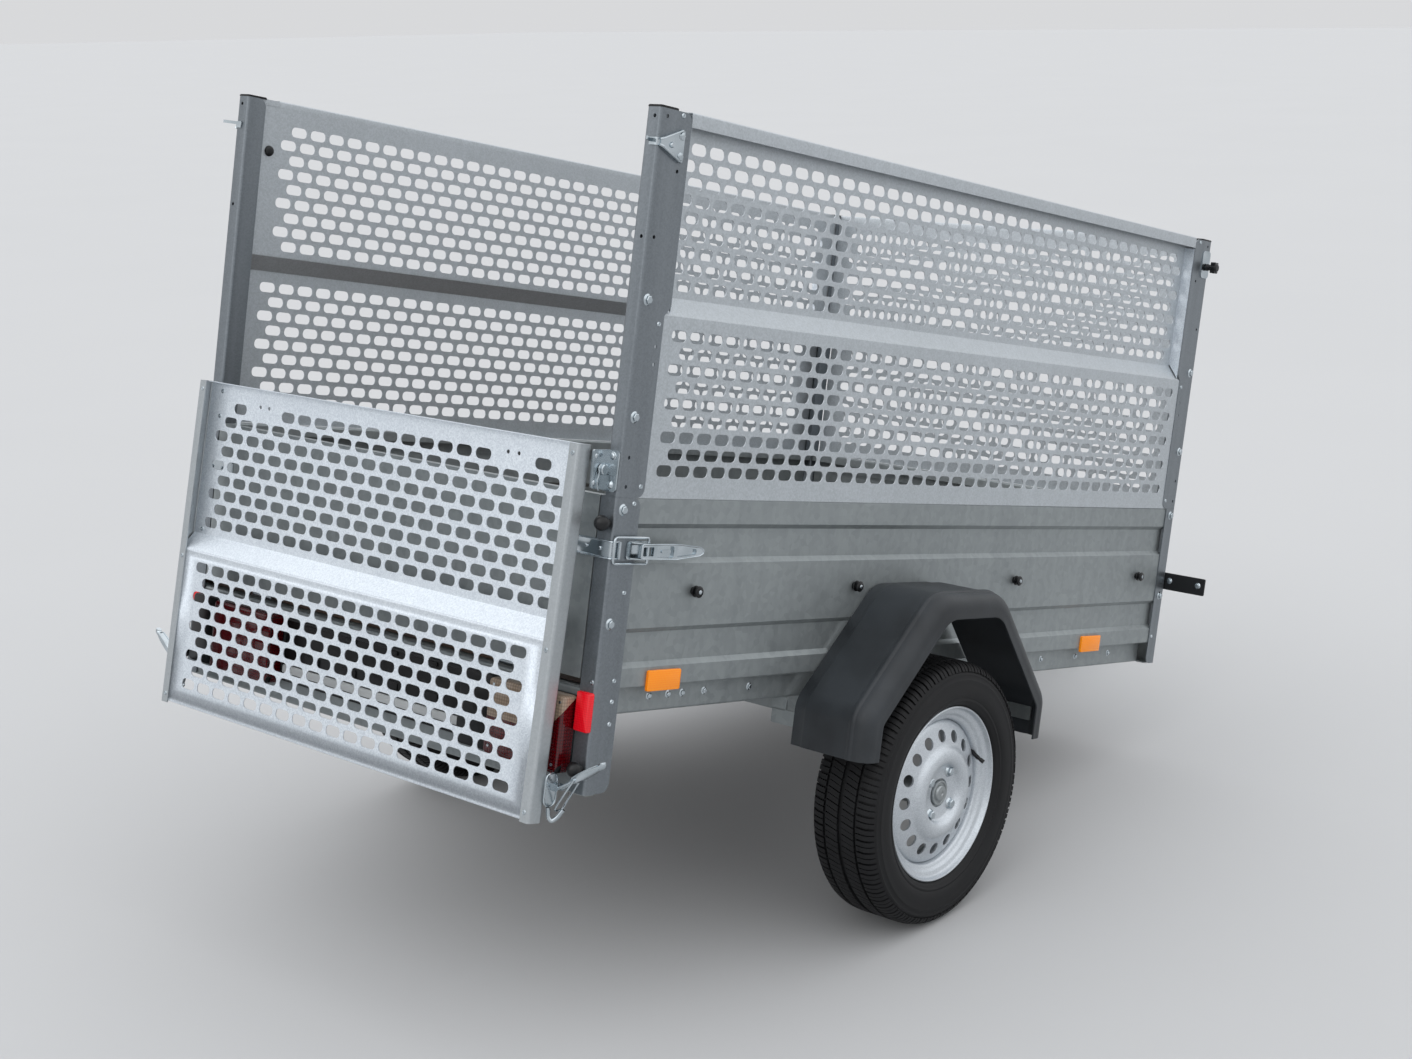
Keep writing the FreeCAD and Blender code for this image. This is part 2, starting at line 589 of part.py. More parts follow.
# ==== perforated extension ==================================================================
def mesh_outline(reach, lip):
    """Outer face of a side sheet as (distance outwards from the recessed plane, height) points."""
    top = TOP + EXTENSION_HEIGHT - MESH_TOP_GAP
    return [(lip, top - MESH_RIM), (lip, top), (0, top), (0, TOP + JOGGLE_TOP), (reach, TOP + JOGGLE_BOTTOM),
            (reach, TOP + FIT)]


def mesh_side():
    """Side sheet, recessed above the step and flush with the posts below it."""
    outer = HALF - POST_SHEET - FIT
    recessed = HALF - EXT_WEB + POST_SHEET + FIT + MESH_SHEET
    path = [(-recessed - out, z) for out, z in mesh_outline(outer - recessed, outer - recessed)]
    x0 = EXT_OUTER_LEG + FIT
    middle = folded_sheet(path, MESH_SHEET, MESH_BEND, "yz", x0, BOX_LENGTH - x0)
    ends = folded_sheet(path[2:], MESH_SHEET, MESH_BEND, "yz", JOINER_TUBE + 2 * POST_SHEET,
                        BOX_LENGTH - JOINER_TUBE - 2 * POST_SHEET)
    trim = block(0, BOX_LENGTH, -HALF, 0, path[0][1] - 1, path[1][1] + 1)
    sheet = middle.fuse(ends.cut(trim))
    low = TOP + JOGGLE_BOTTOM + 4
    high = TOP + JOGGLE_TOP + 4
    flange = [(-outer, low), (-recessed, high), (-recessed, path[0][1] - 2), (-outer, path[0][1] - 2)]
    for x in (x0, BOX_LENGTH - x0 - MESH_SHEET):
        sheet = sheet.fuse(prism(flange, "yz", x, x + MESH_SHEET))
    return sheet.removeSplitter()


def mesh_front():
    """Front sheet between the inner legs of the front posts."""
    outer = BOX_LENGTH - FIT
    recessed = BOX_LENGTH - EXT_WEB
    path = [(recessed + out, z) for out, z in mesh_outline(outer - recessed, outer - recessed)]
    reach = HALF - EXT_WEB - FIT
    return folded_sheet(path[::-1], MESH_SHEET, MESH_BEND, "xz", -reach, reach)


# ==== perforated gate =======================================================================
def gate_frame_point(out, down):
    """Gate coordinates to the level frame: out is behind the pin line, down is below the pin."""
    angle = math.radians(GATE_LEAN)
    x = -GATE_PIN_BEHIND - out * math.cos(angle) - down * math.sin(angle)
    z = TOP + GATE_PIN_ABOVE - down * math.cos(angle) + out * math.sin(angle)
    return x, z


def gate_path(points):
    return [gate_frame_point(out, down) for out, down in points]


def gate_panel():
    """Perforated sheet: near the posts at its hinge end, stepped outwards at its free end."""
    near = GATE_SETBACK + POST_SHEET + FIT
    far = GATE_SETBACK + GATE_DEPTH - MESH_SHEET - FIT - POST_SHEET
    top = -GATE_ABOVE_PIN
    points = [(near + 12, top), (near, top), (near, top + GATE_JOGGLE_START), (far, top + GATE_JOGGLE_END),
              (far, top + GATE_LENGTH - 4), (far - 14, top + GATE_LENGTH - 4)]
    reach = GATE_HALF_WIDTH - POST_SHEET - BEND - FIT
    return folded_sheet(gate_path(points)[::-1], MESH_SHEET, MESH_BEND, "xz", -reach, reach)


def gate_channel():
    """Folded side channel of the gate, its web outwards and its open side inwards."""
    y0 = -GATE_HALF_WIDTH
    near = -GATE_SETBACK
    far = -GATE_SETBACK - GATE_DEPTH
    path = [(far, y0 + GATE_FAR_FLANGE), (far, y0), (near, y0), (near, y0 + GATE_NEAR_FLANGE)]
    upright = folded_sheet(path, POST_SHEET, BEND, "xy", GATE_ABOVE_PIN - GATE_LENGTH, GATE_ABOVE_PIN)
    upright.rotate(Vector(0, 0, 0), Vector(0, 1, 0), GATE_LEAN)
    upright.translate(Vector(-GATE_PIN_BEHIND, 0, TOP + GATE_PIN_ABOVE))
    return upright


def gate_lugs():
    """Strap on each side of the gate that reaches forwards to the hinge pin."""
    y1 = -GATE_HALF_WIDTH
    y0 = y1 - 4
    ring = gate_path([(GATE_SETBACK + 24, -28), (0, -16), (0, 16), (GATE_SETBACK + 24, 28)])
    eye = rod(-GATE_PIN_BEHIND, y0, TOP + GATE_PIN_ABOVE, 16, 4, "y")
    bore = rod(-GATE_PIN_BEHIND, y0 - 1, TOP + GATE_PIN_ABOVE, PIN_RADIUS + RUNNING, 6, "y")
    return pair(prism(ring, "xz", y0, y1).fuse(eye).cut(bore).removeSplitter())


def gate_hinge_bracket():
    """Angle bracket on the extension post with the fixed hinge pin."""
    y0 = -GATE_HALF_WIDTH - 4 - 2 - 4
    z0 = TOP + 8
    z1 = TOP + 80
    plate = block(-4, -FIT, -HALF + 3, y0 + 4, z0, z1)
    flange = block(-GATE_PIN_BEHIND - 18, -FIT, y0, y0 + 4, z0, z1)
    pin = rod(-GATE_PIN_BEHIND, y0 - 3, TOP + GATE_PIN_ABOVE, PIN_RADIUS, -GATE_HALF_WIDTH + 6 - y0 + 3, "y")
    head = rod(-GATE_PIN_BEHIND, y0 - 8, TOP + GATE_PIN_ABOVE, PIN_RADIUS + 3, 8, "y")
    return plate.fuse(flange).fuse(pin).fuse(head).removeSplitter()


def gate_latch():
    """Over-centre latch at the free corner of the gate, standing open with its wire bail hanging."""
    down = 562.0
    x, z = gate_frame_point(-4, down)
    y1 = -GATE_HALF_WIDTH
    ring = gate_path([(-6, down - 20), (8, down - 28), (44, down - 28), (48, down + 32), (-6, down + 24)])
    plate = prism(ring, "xz", y1 - 3, y1)
    ear = block(x - 6, x + 6, y1 - 22, y1 - 3, z - 7, z + 7)
    lever = prism([(y1 - 8, z - 6), (y1 - 98, z + 32), (y1 - 98, z + 43), (y1 - 8, z + 8)], "yz", x - 6, x + 6)
    bail = prism([(y1 - 12, z - 4), (y1 - 20, z - 4), (y1 - 34, z - 62), (y1 - 26, z - 62)], "yz", x - 3, x + 3)
    hook = prism([(y1 - 3, z - 34), (y1 - 3, z - 24), (y1 - 12, z - 34), (y1 - 12, z - 42)], "yz", x - 5, x + 5)
    return pair(plate.fuse(ear).fuse(lever).fuse(bail).fuse(hook).removeSplitter())


# ==== rear equipment ========================================================================
def gate_catches():
    """Triangular plate on the post's side with a hook round its rear face for the gate latch."""
    z = TOP + 606
    y = -HALF - FIT
    plate = prism([(62, z + 26), (62, z - 26), (6, z - 6), (6, z + 8)], "xz", y - 2.5, y)
    wrap = block(-2.8, 8, y - 2.5, y, z - 6, z + 8)
    front = block(-2.8, -FIT, y, -HALF + 26, z - 6, z + 8)
    return pair(plate.fuse(wrap).fuse(front).removeSplitter())


def tailgate_latches():
    """Strap from the tailgate round the post, wire bail and closed over-centre lever."""
    z = TOP - 92
    y = -HALF - FIT
    strap = block(-3.3, -FIT, y - 3, -HALF + POST_WEB + 58, z - 13, z + 13)
    wrap = block(-3.3, 12, y - 3, y, z - 13, z + 13)
    base = block(38, 96, y - 4, y, z - 15, z + 15)
    post = rod(66, y - 14, z, 8, 10, "y")
    lever = prism([(60, z - 14), (60, z + 14), (150, z + 14), (222, z + 6), (222, z - 10), (150, z - 16)],
                  "xz", y - 20, y - 14)
    catch = strap.fuse(wrap).removeSplitter()
    return Part.makeCompound([catch, mirrored(catch)]), pair(base.fuse(post).fuse(lever).removeSplitter())


def rear_bar():
    """C section between the rear posts under the lamps."""
    z1 = TOP - BAR_TOP_DROP
    z0 = z1 - BAR_HEIGHT
    reach = HALF - POST_SHEET - BEND - FIT
    x0 = POST_SHEET + FIT
    path = [(x0 + BAR_DEPTH, z1), (x0, z1), (x0, z0), (x0 + BAR_DEPTH, z0)]
    return folded_sheet(path, FRAME_SHEET, BEND, "xz", -reach, reach)


def lamp_carrier():
    """Flat strip behind the lamps and the number plate, from the rear rail to the rear bar."""
    reach = HALF - POST_WEB - FIT
    return block(0, POST_SHEET, -reach, reach, TOP - BAR_TOP_DROP - 6, RAIL_BOTTOM + 34)


def tail_lamps():
    z1 = TOP - LAMP_TOP_DROP
    z0 = z1 - LAMP_HEIGHT
    y0 = -HALF + POST_WEB + FIT
    y1 = y0 + LAMP_WIDTH
    lamp = block(-LAMP_DEPTH, -FIT, y0, y1, z0, z1)
    edges = [e for e in lamp.Edges if e.BoundBox.XMax < -LAMP_DEPTH + 0.1]
    return pair(lamp.makeFillet(10, edges))


def number_plate():
    z1 = TOP - LAMP_TOP_DROP - 4
    half = PLATE_WIDTH / 2
    return block(-12, -FIT, -half, half, z1 - PLATE_HEIGHT - 14, z1)


def rear_reflectors():
    y0 = -HALF + 1
    z1 = TOP - 342
    return pair(block(-6, -FIT, y0, y0 + 34, z1 - 70, z1))


def side_reflectors():
    z0 = TOP - 346
    y = -HALF + POST_SHEET
    solids = [block(x, x + 90, y - 6, y - FIT, z0, z0 + 38) for x in (132, 1690)]
    return Part.makeCompound(solids + [mirrored(s) for s in solids])


def marker_brackets():
    """Bare plates beside the front corners that can carry position lamps."""
    x0 = BOX_LENGTH + FIT
    z0 = TOP - 203
    plate = block(x0, x0 + 4, -HALF - 107, -HALF + 28, z0, z0 + 42)
    return pair(plate)


def tarp_buttons():
    """Knobs for the cover's elastic cord along both sides."""
    z = TOP - 167
    y = -HALF + POST_SHEET - FIT
    solids = []
    for x in (235, 737, 1352, 1927):
        knob = eight_sided(x, y - 18, z, 10, 18)
        solids.append(knob)
        solids.append(mirrored(knob))
    return Part.makeCompound(solids)


def post_knobs():
    """Knobs on the rear faces of the corner posts."""
    solids = []
    for drop in (46, 478):
        knob = None
        for start, end, radius in ((-12, -FIT, 0.6), (-30, -12, 1.0)):
            piece = eight_sided(-HALF + 15, start, TOP - drop, radius * KNOB_RADIUS, end - start, plane="yz")
            knob = piece if knob is None else knob.fuse(piece)
        solids += [knob, mirrored(knob)]
    return Part.makeCompound(solids)


def tailgate_hinges():
    """Hinge barrels between the bottom edge of the tailgate and the rear rail."""
    z = TOP - TAILGATE_BOTTOM_DROP - 6
    solids = []
    for y in (-380, 320):
        barrel = rod(6, y, z, 5, 60, "y")
        leaf = block(3, 6, y, y + 60, z, TOP - TAILGATE_BOTTOM_DROP - FIT)
        solids.append(barrel.fuse(leaf).removeSplitter())
    return Part.makeCompound(solids)


# ==== assembly ==============================================================================
def level_nodes():
    """Every named piece, still level."""
    post = rear_corner_post()
    front_post = front_corner_post()
    ext_rear = extension_post(False)
    ext_front = extension_post(True)
    straps, levers = tailgate_latches()
    nodes = {
        "rear_post_right": post, "rear_post_left": mirrored(post),
        "front_post_right": front_post, "front_post_left": mirrored(front_post),
        "extension_post_rear_right": ext_rear, "extension_post_rear_left": mirrored(ext_rear),
        "extension_post_front_right": ext_front, "extension_post_front_left": mirrored(ext_front),
        "post_caps": post_caps(), "post_joiners": post_joiners(),
        "side_wall_right": side_wall(), "side_wall_left": mirrored(side_wall()),
        "front_wall": front_wall(), "tailgate": tailgate(), "tailgate_hinges": tailgate_hinges(),
        "floor_panel": floor_panel(), "floor_bearers": floor_bearers(),
        "side_rail_right": side_rail(), "side_rail_left": mirrored(side_rail()),
        "rear_rail": end_rail(False), "front_rail": end_rail(True),
        "drawbar": drawbar(), "coupling_head": coupling_head(),
        "axle_beam": axle_beam(), "axle_hangers": axle_hangers(),
        "trailing_arm_right": trailing_arm(), "trailing_arm_left": mirrored(trailing_arm()),
        "tyre_right": tyre(), "tyre_left": mirrored(tyre()),
        "rim_right": rim(), "rim_left": mirrored(rim()),
        "hub_right": hub(), "hub_left": mirrored(hub()),
        "mudguard_right": mudguard(), "mudguard_left": mirrored(mudguard()),
        "mudguard_brackets": mudguard_brackets(),
        "mesh_side_right": mesh_side(), "mesh_side_left": mirrored(mesh_side()),
        "mesh_front": mesh_front(),
        "gate_panel": gate_panel(),
        "gate_channel_right": gate_channel(), "gate_channel_left": mirrored(gate_channel()),
        "gate_lugs": gate_lugs(), "gate_latches": gate_latch(),
        "gate_hinge_brackets": pair(gate_hinge_bracket()), "gate_catches": gate_catches(),
        "tailgate_straps": straps, "tailgate_latches": levers,
        "rear_bar": rear_bar(), "lamp_carrier": lamp_carrier(), "tail_lamps": tail_lamps(),
        "number_plate": number_plate(), "rear_reflectors": rear_reflectors(),
        "side_reflectors": side_reflectors(), "marker_brackets": marker_brackets(),
        "tarp_buttons": tarp_buttons(), "post_knobs": post_knobs(),
    }
    return nodes


def park_angle():
    """Nose-down turn about the wheel centre that puts the coupling's lower lip on the ground."""
    ball_z = RAIL_BOTTOM - FIT - DRAWBAR_HEIGHT / 2
    outer = BALL_RADIUS + BALL_CLEARANCE + COUPLING_WALL
    along = DRAWBAR_REACH + outer
    above = ball_z - COUPLING_BASE_DROP - TYRE_RADIUS
    reach = math.hypot(along, above)
    return math.asin(TYRE_RADIUS / reach) + math.atan2(above, along)


def main():
    os.makedirs("parts", exist_ok=True)
    nodes = level_nodes()
    angle = math.degrees(park_angle())
    hub_line = Vector(AXLE_X, 0, TYRE_RADIUS)
    for shape in nodes.values():
        shape.rotate(hub_line, Vector(0, 1, 0), angle)
    whole = FreeCAD.BoundBox()
    for shape in nodes.values():
        whole.add(shape.optimalBoundingBox(False))
    shift = Vector(-whole.Center.x, -whole.Center.y, -whole.ZMin)
    for name, shape in nodes.items():
        shape.translate(shift)
        shape.exportStep("parts/%s.step" % name)
    pin = Vector(-GATE_PIN_BEHIND, 0, TOP + GATE_PIN_ABOVE)
    turn = FreeCAD.Placement(Vector(0, 0, 0), FreeCAD.Rotation(Vector(0, 1, 0), angle), hub_line)
    print("nodes", len(nodes), "park angle", round(angle, 3))
    print("box", whole)
    print("axle line", hub_line + shift)
    print("gate pin", turn.multVec(pin) + shift)
    print("ball centre", turn.multVec(Vector(COUPLING_X, 0, RAIL_BOTTOM - FIT - DRAWBAR_HEIGHT / 2)) + shift)
    print("floor top", turn.multVec(Vector(BOX_LENGTH / 2, 0, FLOOR_BOTTOM + FLOOR_THICKNESS)) + shift)


main()
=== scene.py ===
"""Looks of a single-axle box trailer with perforated extension sides and a hanging rear gate.

Pieces are laid out in millimetres in the level frame, with x forward from the rear face of the
corner posts, y to the left and z up from the top edge of the box, and PARKED carries them into
the frame, nose down on the coupling.
"""

import json
import math

import bmesh
import bpy
from mathutils import Euler, Matrix, Vector


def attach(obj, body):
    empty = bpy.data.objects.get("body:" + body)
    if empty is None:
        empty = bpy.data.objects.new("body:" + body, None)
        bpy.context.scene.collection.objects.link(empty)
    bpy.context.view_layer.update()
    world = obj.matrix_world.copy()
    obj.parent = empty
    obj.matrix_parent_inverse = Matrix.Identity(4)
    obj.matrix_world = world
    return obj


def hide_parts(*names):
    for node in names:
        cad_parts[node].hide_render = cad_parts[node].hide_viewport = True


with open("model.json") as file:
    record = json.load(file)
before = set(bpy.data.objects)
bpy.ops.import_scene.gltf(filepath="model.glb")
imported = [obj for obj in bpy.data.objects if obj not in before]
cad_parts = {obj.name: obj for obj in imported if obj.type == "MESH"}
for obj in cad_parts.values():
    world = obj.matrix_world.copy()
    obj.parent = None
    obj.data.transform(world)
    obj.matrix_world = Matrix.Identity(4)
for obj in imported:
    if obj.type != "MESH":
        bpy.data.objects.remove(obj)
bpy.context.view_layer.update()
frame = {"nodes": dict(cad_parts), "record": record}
RECORD = frame["record"]
MM = 0.001


def record_named(rows, name):
    return next(row for row in rows if row["name"] == name)


def axle_centre():
    hub = record_named(RECORD["behaviour"]["joints"], "wheel_right_spin")["pos_m"]
    return Vector((hub[0], 0, hub[2]))


def parked_frame():
    """Level millimetres to parked metres, from the floor's normal, the axle and a corner post."""
    normal = record_named(RECORD["mounts"], "load_floor")["axis"]
    tilt = math.atan2(normal[0], normal[2])
    about_axle = Matrix.Translation(axle_centre()) @ Matrix.Rotation(tilt, 4, "Y")
    post = [about_axle.inverted() @ v.co for v in frame["nodes"]["rear_post_right"].data.vertices]
    corner = Vector((min(p.x for p in post), 0, max(p.z for p in post)))
    return about_axle @ Matrix.Translation(corner) @ Matrix.Scale(MM, 4), tilt


PARKED, TILT = parked_frame()
LEVEL = PARKED.inverted()


def level_box(*nodes):
    """Lowest and highest corner of CAD nodes in the level frame, in millimetres."""
    points = [LEVEL @ v.co for n in nodes for v in frame["nodes"][n].data.vertices]
    return [Vector([pick(p[i] for p in points) for i in range(3)]) for pick in (min, max)]


HALF = -level_box("rear_post_right")[0].y          # half width over the posts
LENGTH = level_box("front_post_right")[1].x        # box length over the posts
AXLE = LEVEL @ axle_centre()
WHEEL = LEVEL @ Vector(record_named(RECORD["behaviour"]["joints"], "wheel_right_spin")["pos_m"])
PIN = LEVEL @ Vector(record_named(RECORD["behaviour"]["joints"], "gate_hinge")["pos_m"])


# ==== nodes =================================================================================
def add(tree, kind, values=None, links=None):
    """Adds a node: names in lower case are its settings, the others and numbers its sockets."""
    node = tree.nodes.new(kind)
    for key, value in (values or {}).items():
        if isinstance(key, str) and key[0].islower():
            setattr(node, key, value)
    for key, value in (values or {}).items():
        if not (isinstance(key, str) and key[0].islower()):
            node.inputs[key].default_value = value
    for key, sources in (links or {}).items():
        for source in sources if isinstance(sources, list) else [sources]:
            socket = source if isinstance(source, bpy.types.NodeSocket) else source.outputs[0]
            tree.links.new(socket, node.inputs[key])
    return node


def new_tree(name, sizes, counts=()):
    """Geometry tree with named inputs for its geometry, sizes, counts and finish."""
    tree = bpy.data.node_groups.new(name, "GeometryNodeTree")
    tree.interface.new_socket("Geometry", in_out="OUTPUT", socket_type="NodeSocketGeometry")
    kinds = {"Geometry": ["Geometry"], "Float": sizes, "Int": counts, "Material": ["Finish"]}
    for kind, labels in kinds.items():
        for label in labels:
            tree.interface.new_socket(label, in_out="INPUT", socket_type="NodeSocket" + kind)
    return tree, add(tree, "NodeGroupInput").outputs


def close_tree(tree, geometry, material):
    """Ends a tree in Realize Instances and Set Material."""
    real = add(tree, "GeometryNodeRealizeInstances", links={"Geometry": geometry})
    painted = add(tree, "GeometryNodeSetMaterial", links={"Geometry": real, "Material": material})
    add(tree, "NodeGroupOutput", links={"Geometry": painted})
    return tree


def put(name, data):
    """New object in the scene, at the origin."""
    made = bpy.data.objects.new(name, data)
    bpy.context.scene.collection.objects.link(made)
    return made


def run_tree(tree, seed_mesh, values):
    """Runs a tree on a mesh with the given inputs and returns the plain result as bmesh."""
    carrier = put("carrier", seed_mesh)
    modifier = carrier.modifiers.new("tree", "NODES")
    modifier.node_group = tree
    for item in tree.interface.items_tree:
        if item.in_out == "INPUT" and item.name in values:
            modifier[item.identifier] = values[item.name]
    result = evaluated(carrier)
    bpy.data.meshes.remove(seed_mesh)
    for face in result.faces:
        face.material_index = 0
    return result


def evaluated(carrier):
    """The carrier's mesh with its modifiers applied, as bmesh; the carrier is removed."""
    bpy.context.view_layer.update()
    shaped = carrier.evaluated_get(bpy.context.evaluated_depsgraph_get())
    mesh = bpy.data.meshes.new_from_object(shaped)
    bpy.data.objects.remove(carrier)
    bm = bmesh.new()
    bm.from_mesh(mesh)
    bpy.data.meshes.remove(mesh)
    return bm


# ==== mesh helpers ==========================================================================
def lay(plane, u, v, along):
    return Vector({"yz": (along, u, v), "xz": (u, along, v), "xy": (u, v, along)}[plane])


def oblong(u0, v0, u1, v1):
    """Corners of a rectangle, in the order in which an outline goes round."""
    return [(u0, v0), (u1, v0), (u1, v1), (u0, v1)]


def rounded(points, radius, steps=4):
    """Closed outline with rounded corners; radius is one number or one for each corner."""
    count = len(points)
    radii = radius if isinstance(radius, (list, tuple)) else [radius] * count
    ring = []
    for i, r in enumerate(radii):
        here, before, after = (Vector(points[j % count]) for j in (i, i - 1, i + 1))
        back, on = (before - here).normalized(), (after - here).normalized()
        bend = math.pi - back.angle(on)
        if r <= 0 or bend < 0.01:
            ring.append(here)
            continue
        reach = r * math.tan(bend / 2)
        centre = here + (back + on).normalized() * (r / math.cos(bend / 2))
        start, end = here + back * reach - centre, here + on * reach - centre
        for k in range(steps + 1):
            spoke = start.lerp(end, 0.5 - math.tan((0.5 - k / steps) * bend) / (2 * math.tan(bend / 2)))
            ring.append(centre + spoke.normalized() * r)
    return ring


def folded(points, sheet, bend, steps=4):
    """Outline of a strip of sheet folded along points and lying to the left of that path."""
    flats = [Vector(p) for p in points]
    runs = [(b - a).normalized() for a, b in zip(flats, flats[1:])]
    lefts = [Vector((-d.y, d.x)) for d in runs]
    near, far = [flats[0]], [flats[0] + lefts[0] * sheet]
    for i in range(1, len(flats) - 1):
        turn = math.atan2(runs[i - 1].cross(runs[i]), runs[i - 1].dot(runs[i]))
        side = 1 if turn > 0 else -1
        inner = bend if turn > 0 else bend + sheet
        outer = bend + sheet if turn > 0 else bend
        reach = outer * math.tan(abs(turn) / 2)
        centre = flats[i] - runs[i - 1] * reach + lefts[i - 1] * side * outer
        for k in range(steps + 1):
            a = -turn * (1 - k / steps)
            spoke = Matrix.Rotation(a, 2) @ (lefts[i] * -side)
            near.append(centre + spoke * outer)
            far.append(centre + spoke * inner)
    near.append(flats[-1])
    far.append(flats[-1] + lefts[-1] * sheet)
    return near + far[::-1]


def skin(bm, rings, around=True, ends=True, material=0):
    """Faces from each ring of vertices to the next, with the first and last closed if asked."""
    for a, b in zip(rings, rings[1:]):
        for i in range(len(a) if around else len(a) - 1):
            j = (i + 1) % len(a)
            bm.faces.new((a[i], a[j], b[j], b[i])).material_index = material
    if ends:
        bm.faces.new(rings[0][::-1]).material_index = material
        bm.faces.new(rings[-1]).material_index = material


def push(bm, ring, plane, start, end, material=0):
    """Closed piece between two copies of an outline."""
    rings = [[bm.verts.new(lay(plane, p[0], p[1], along)) for p in ring] for along in (start, end)]
    skin(bm, rings, material=material)


def sides_of(plane):
    """Index of the axis across a plane, and of the two that span it."""
    axis = {"yz": 0, "xz": 1, "xy": 2}[plane]
    return axis, *[i for i in range(3) if i != axis]


def slab(bm, low, high, plane="xy", radius=0.0, steps=3):
    """Plate between two corners with its outline rounded in the named plane."""
    axis, u, v = sides_of(plane)
    ring = oblong(low[u], low[v], high[u], high[v])
    push(bm, rounded(ring, radius, steps), plane, low[axis], high[axis])


def turned(bm, profile, centre, steps, axis="y", closed=False, material=0):
    """Outline of (radius, offset) points turned about an axis through centre."""
    rings = []
    for radius, offset in profile:
        ring = []
        for k in range(steps if radius > 1e-6 else 1):
            a = 2 * math.pi * k / steps
            c, s = radius * math.cos(a), radius * math.sin(a)
            ring.append(bm.verts.new(Vector(centre) + Vector(
                {"x": (offset, c, s), "y": (c, offset, s), "z": (c, s, offset)}[axis])))
        rings.append(ring)
    pairs = list(zip(rings, rings[1:])) + ([(rings[-1], rings[0])] if closed else [])
    for a, b in pairs:
        for k in range(max(len(a), len(b))):
            j = (k + 1) % steps
            corners = [a[k % len(a)], a[j % len(a)], b[j % len(b)], b[k % len(b)]]
            loop = [v for i, v in enumerate(corners) if v not in corners[:i]]
            if len(loop) > 2:
                bm.faces.new(loop).material_index = material


def wire(bm, points, radius, sides=8, closed=False):
    """Round wire bent along points."""
    points = [Vector(p) for p in points]
    count = len(points)
    across = None
    rings = []
    for i, p in enumerate(points):
        before = points[i - 1] if (i or closed) else p
        after = points[(i + 1) % count] if (i < count - 1 or closed) else p
        along = (after - before).normalized()
        if across is None:
            across = along.orthogonal().normalized()
        across = (across - along * across.dot(along)).normalized()
        other = along.cross(across)
        rings.append([bm.verts.new(p + (across * math.cos(a) + other * math.sin(a)) * radius)
                      for a in (2 * math.pi * k / sides for k in range(sides))])
    skin(bm, rings + rings[:1] if closed else rings, ends=not closed)


def bent(points, radius, steps=4):
    """Open path in space with its inner corners rounded, for wires."""
    points = [Vector(p) for p in points]
    path = [points[0]]
    for before, here, after in zip(points, points[1:], points[2:]):
        back, on = (before - here).normalized(), (after - here).normalized()
        reach = min(radius, (before - here).length * 0.45, (after - here).length * 0.45)
        a, b = here + back * reach, here + on * reach
        path += [a.lerp(here, t).lerp(here.lerp(b, t), t) for t in (k / steps for k in range(steps + 1))]
    return path + [points[-1]]


def as_mesh(bm, name="part"):
    """Plain mesh of a bmesh, which is freed."""
    mesh = bpy.data.meshes.new(name)
    bm.to_mesh(mesh)
    bm.free()
    return mesh


def mended(bm, distance=0.002):
    """The same bmesh with its doubles merged, then its faces turned outwards."""
    bmesh.ops.remove_doubles(bm, verts=bm.verts, dist=distance)
    bmesh.ops.recalc_face_normals(bm, faces=bm.faces)
    return bm


def moved(bm, x, y, z):
    """The same bmesh, moved."""
    bmesh.ops.translate(bm, vec=(x, y, z), verts=bm.verts)
    return bm


def join(bm, other, matrix=None):
    """Moves another bmesh into bm, through a matrix if given."""
    if matrix is not None:
        bmesh.ops.transform(other, matrix=matrix, verts=other.verts)
    mesh = as_mesh(other)
    bm.from_mesh(mesh)
    bpy.data.meshes.remove(mesh)


def mirror_image(bm):
    """Copy of a bmesh on the other side of the centre line."""
    other = bm.copy()
    bmesh.ops.scale(other, vec=(1, -1, 1), verts=other.verts)
    bmesh.ops.reverse_faces(other, faces=other.faces)
    return other


def cut(bm, tool, operation="DIFFERENCE"):
    """bm with the tool's shape taken out of it, or only what both share."""
    stock, blade = (put("carrier", as_mesh(mended(part, 0.001))) for part in (bm, tool))
    modifier = stock.modifiers.new("cut", "BOOLEAN")
    modifier.object = blade
    modifier.solver = "EXACT"
    modifier.operation = operation
    result = evaluated(stock)
    bpy.data.objects.remove(blade)
    return result


def seal(name, bm, materials, body, slot, replaces=(), smooth=32.0):
    """Makes a finished piece of a bmesh: merged, faces outwards, parked, on its body."""
    bmesh.ops.transform(mended(bm), matrix=PARKED, verts=bm.verts)
    mesh = as_mesh(bm, name)
    for material in materials:
        mesh.materials.append(material)
    for polygon in mesh.polygons:
        polygon.use_smooth = True
    mesh.set_sharp_from_angle(angle=math.radians(smooth))
    piece = put(name, mesh)
    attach(piece, body)
    if replaces:
        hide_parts(*replaces)


def pair_of(name, make, materials, body, slot, replaces=(), smooth=32.0):
    """A right-hand piece and its mirror image in one mesh."""
    right = make()
    join(right, mirror_image(right))
    seal(name, right, materials, body, slot, replaces, smooth)


# ==== finishes ==============================================================================
def linear(colour):
    """sRGB hex to linear RGBA."""
    parts = [int(colour[i:i + 2], 16) / 255 for i in (1, 3, 5)]
    return [p / 12.92 if p <= 0.04045 else ((p + 0.055) / 1.055) ** 2.4 for p in parts] + [1.0]


def start_finish(name):
    """New material and its coordinates in level metres, in which a Scale is in cells per metre."""
    material = bpy.data.materials.new(name)
    material.use_nodes = True
    tree = material.node_tree
    tree.nodes.clear()
    place = add(tree, "ShaderNodeTexCoord").outputs["Object"]
    return material, tree, add(tree, "ShaderNodeMapping", {"Rotation": (0, -TILT, 0)}, {"Vector": place})


def end_finish(tree, values, links):
    """Ends a material in its surface shader, with constant values and patterns."""
    surface = add(tree, "ShaderNodeBsdfPrincipled", values, links)
    add(tree, "ShaderNodeOutputMaterial", links={"Surface": surface})


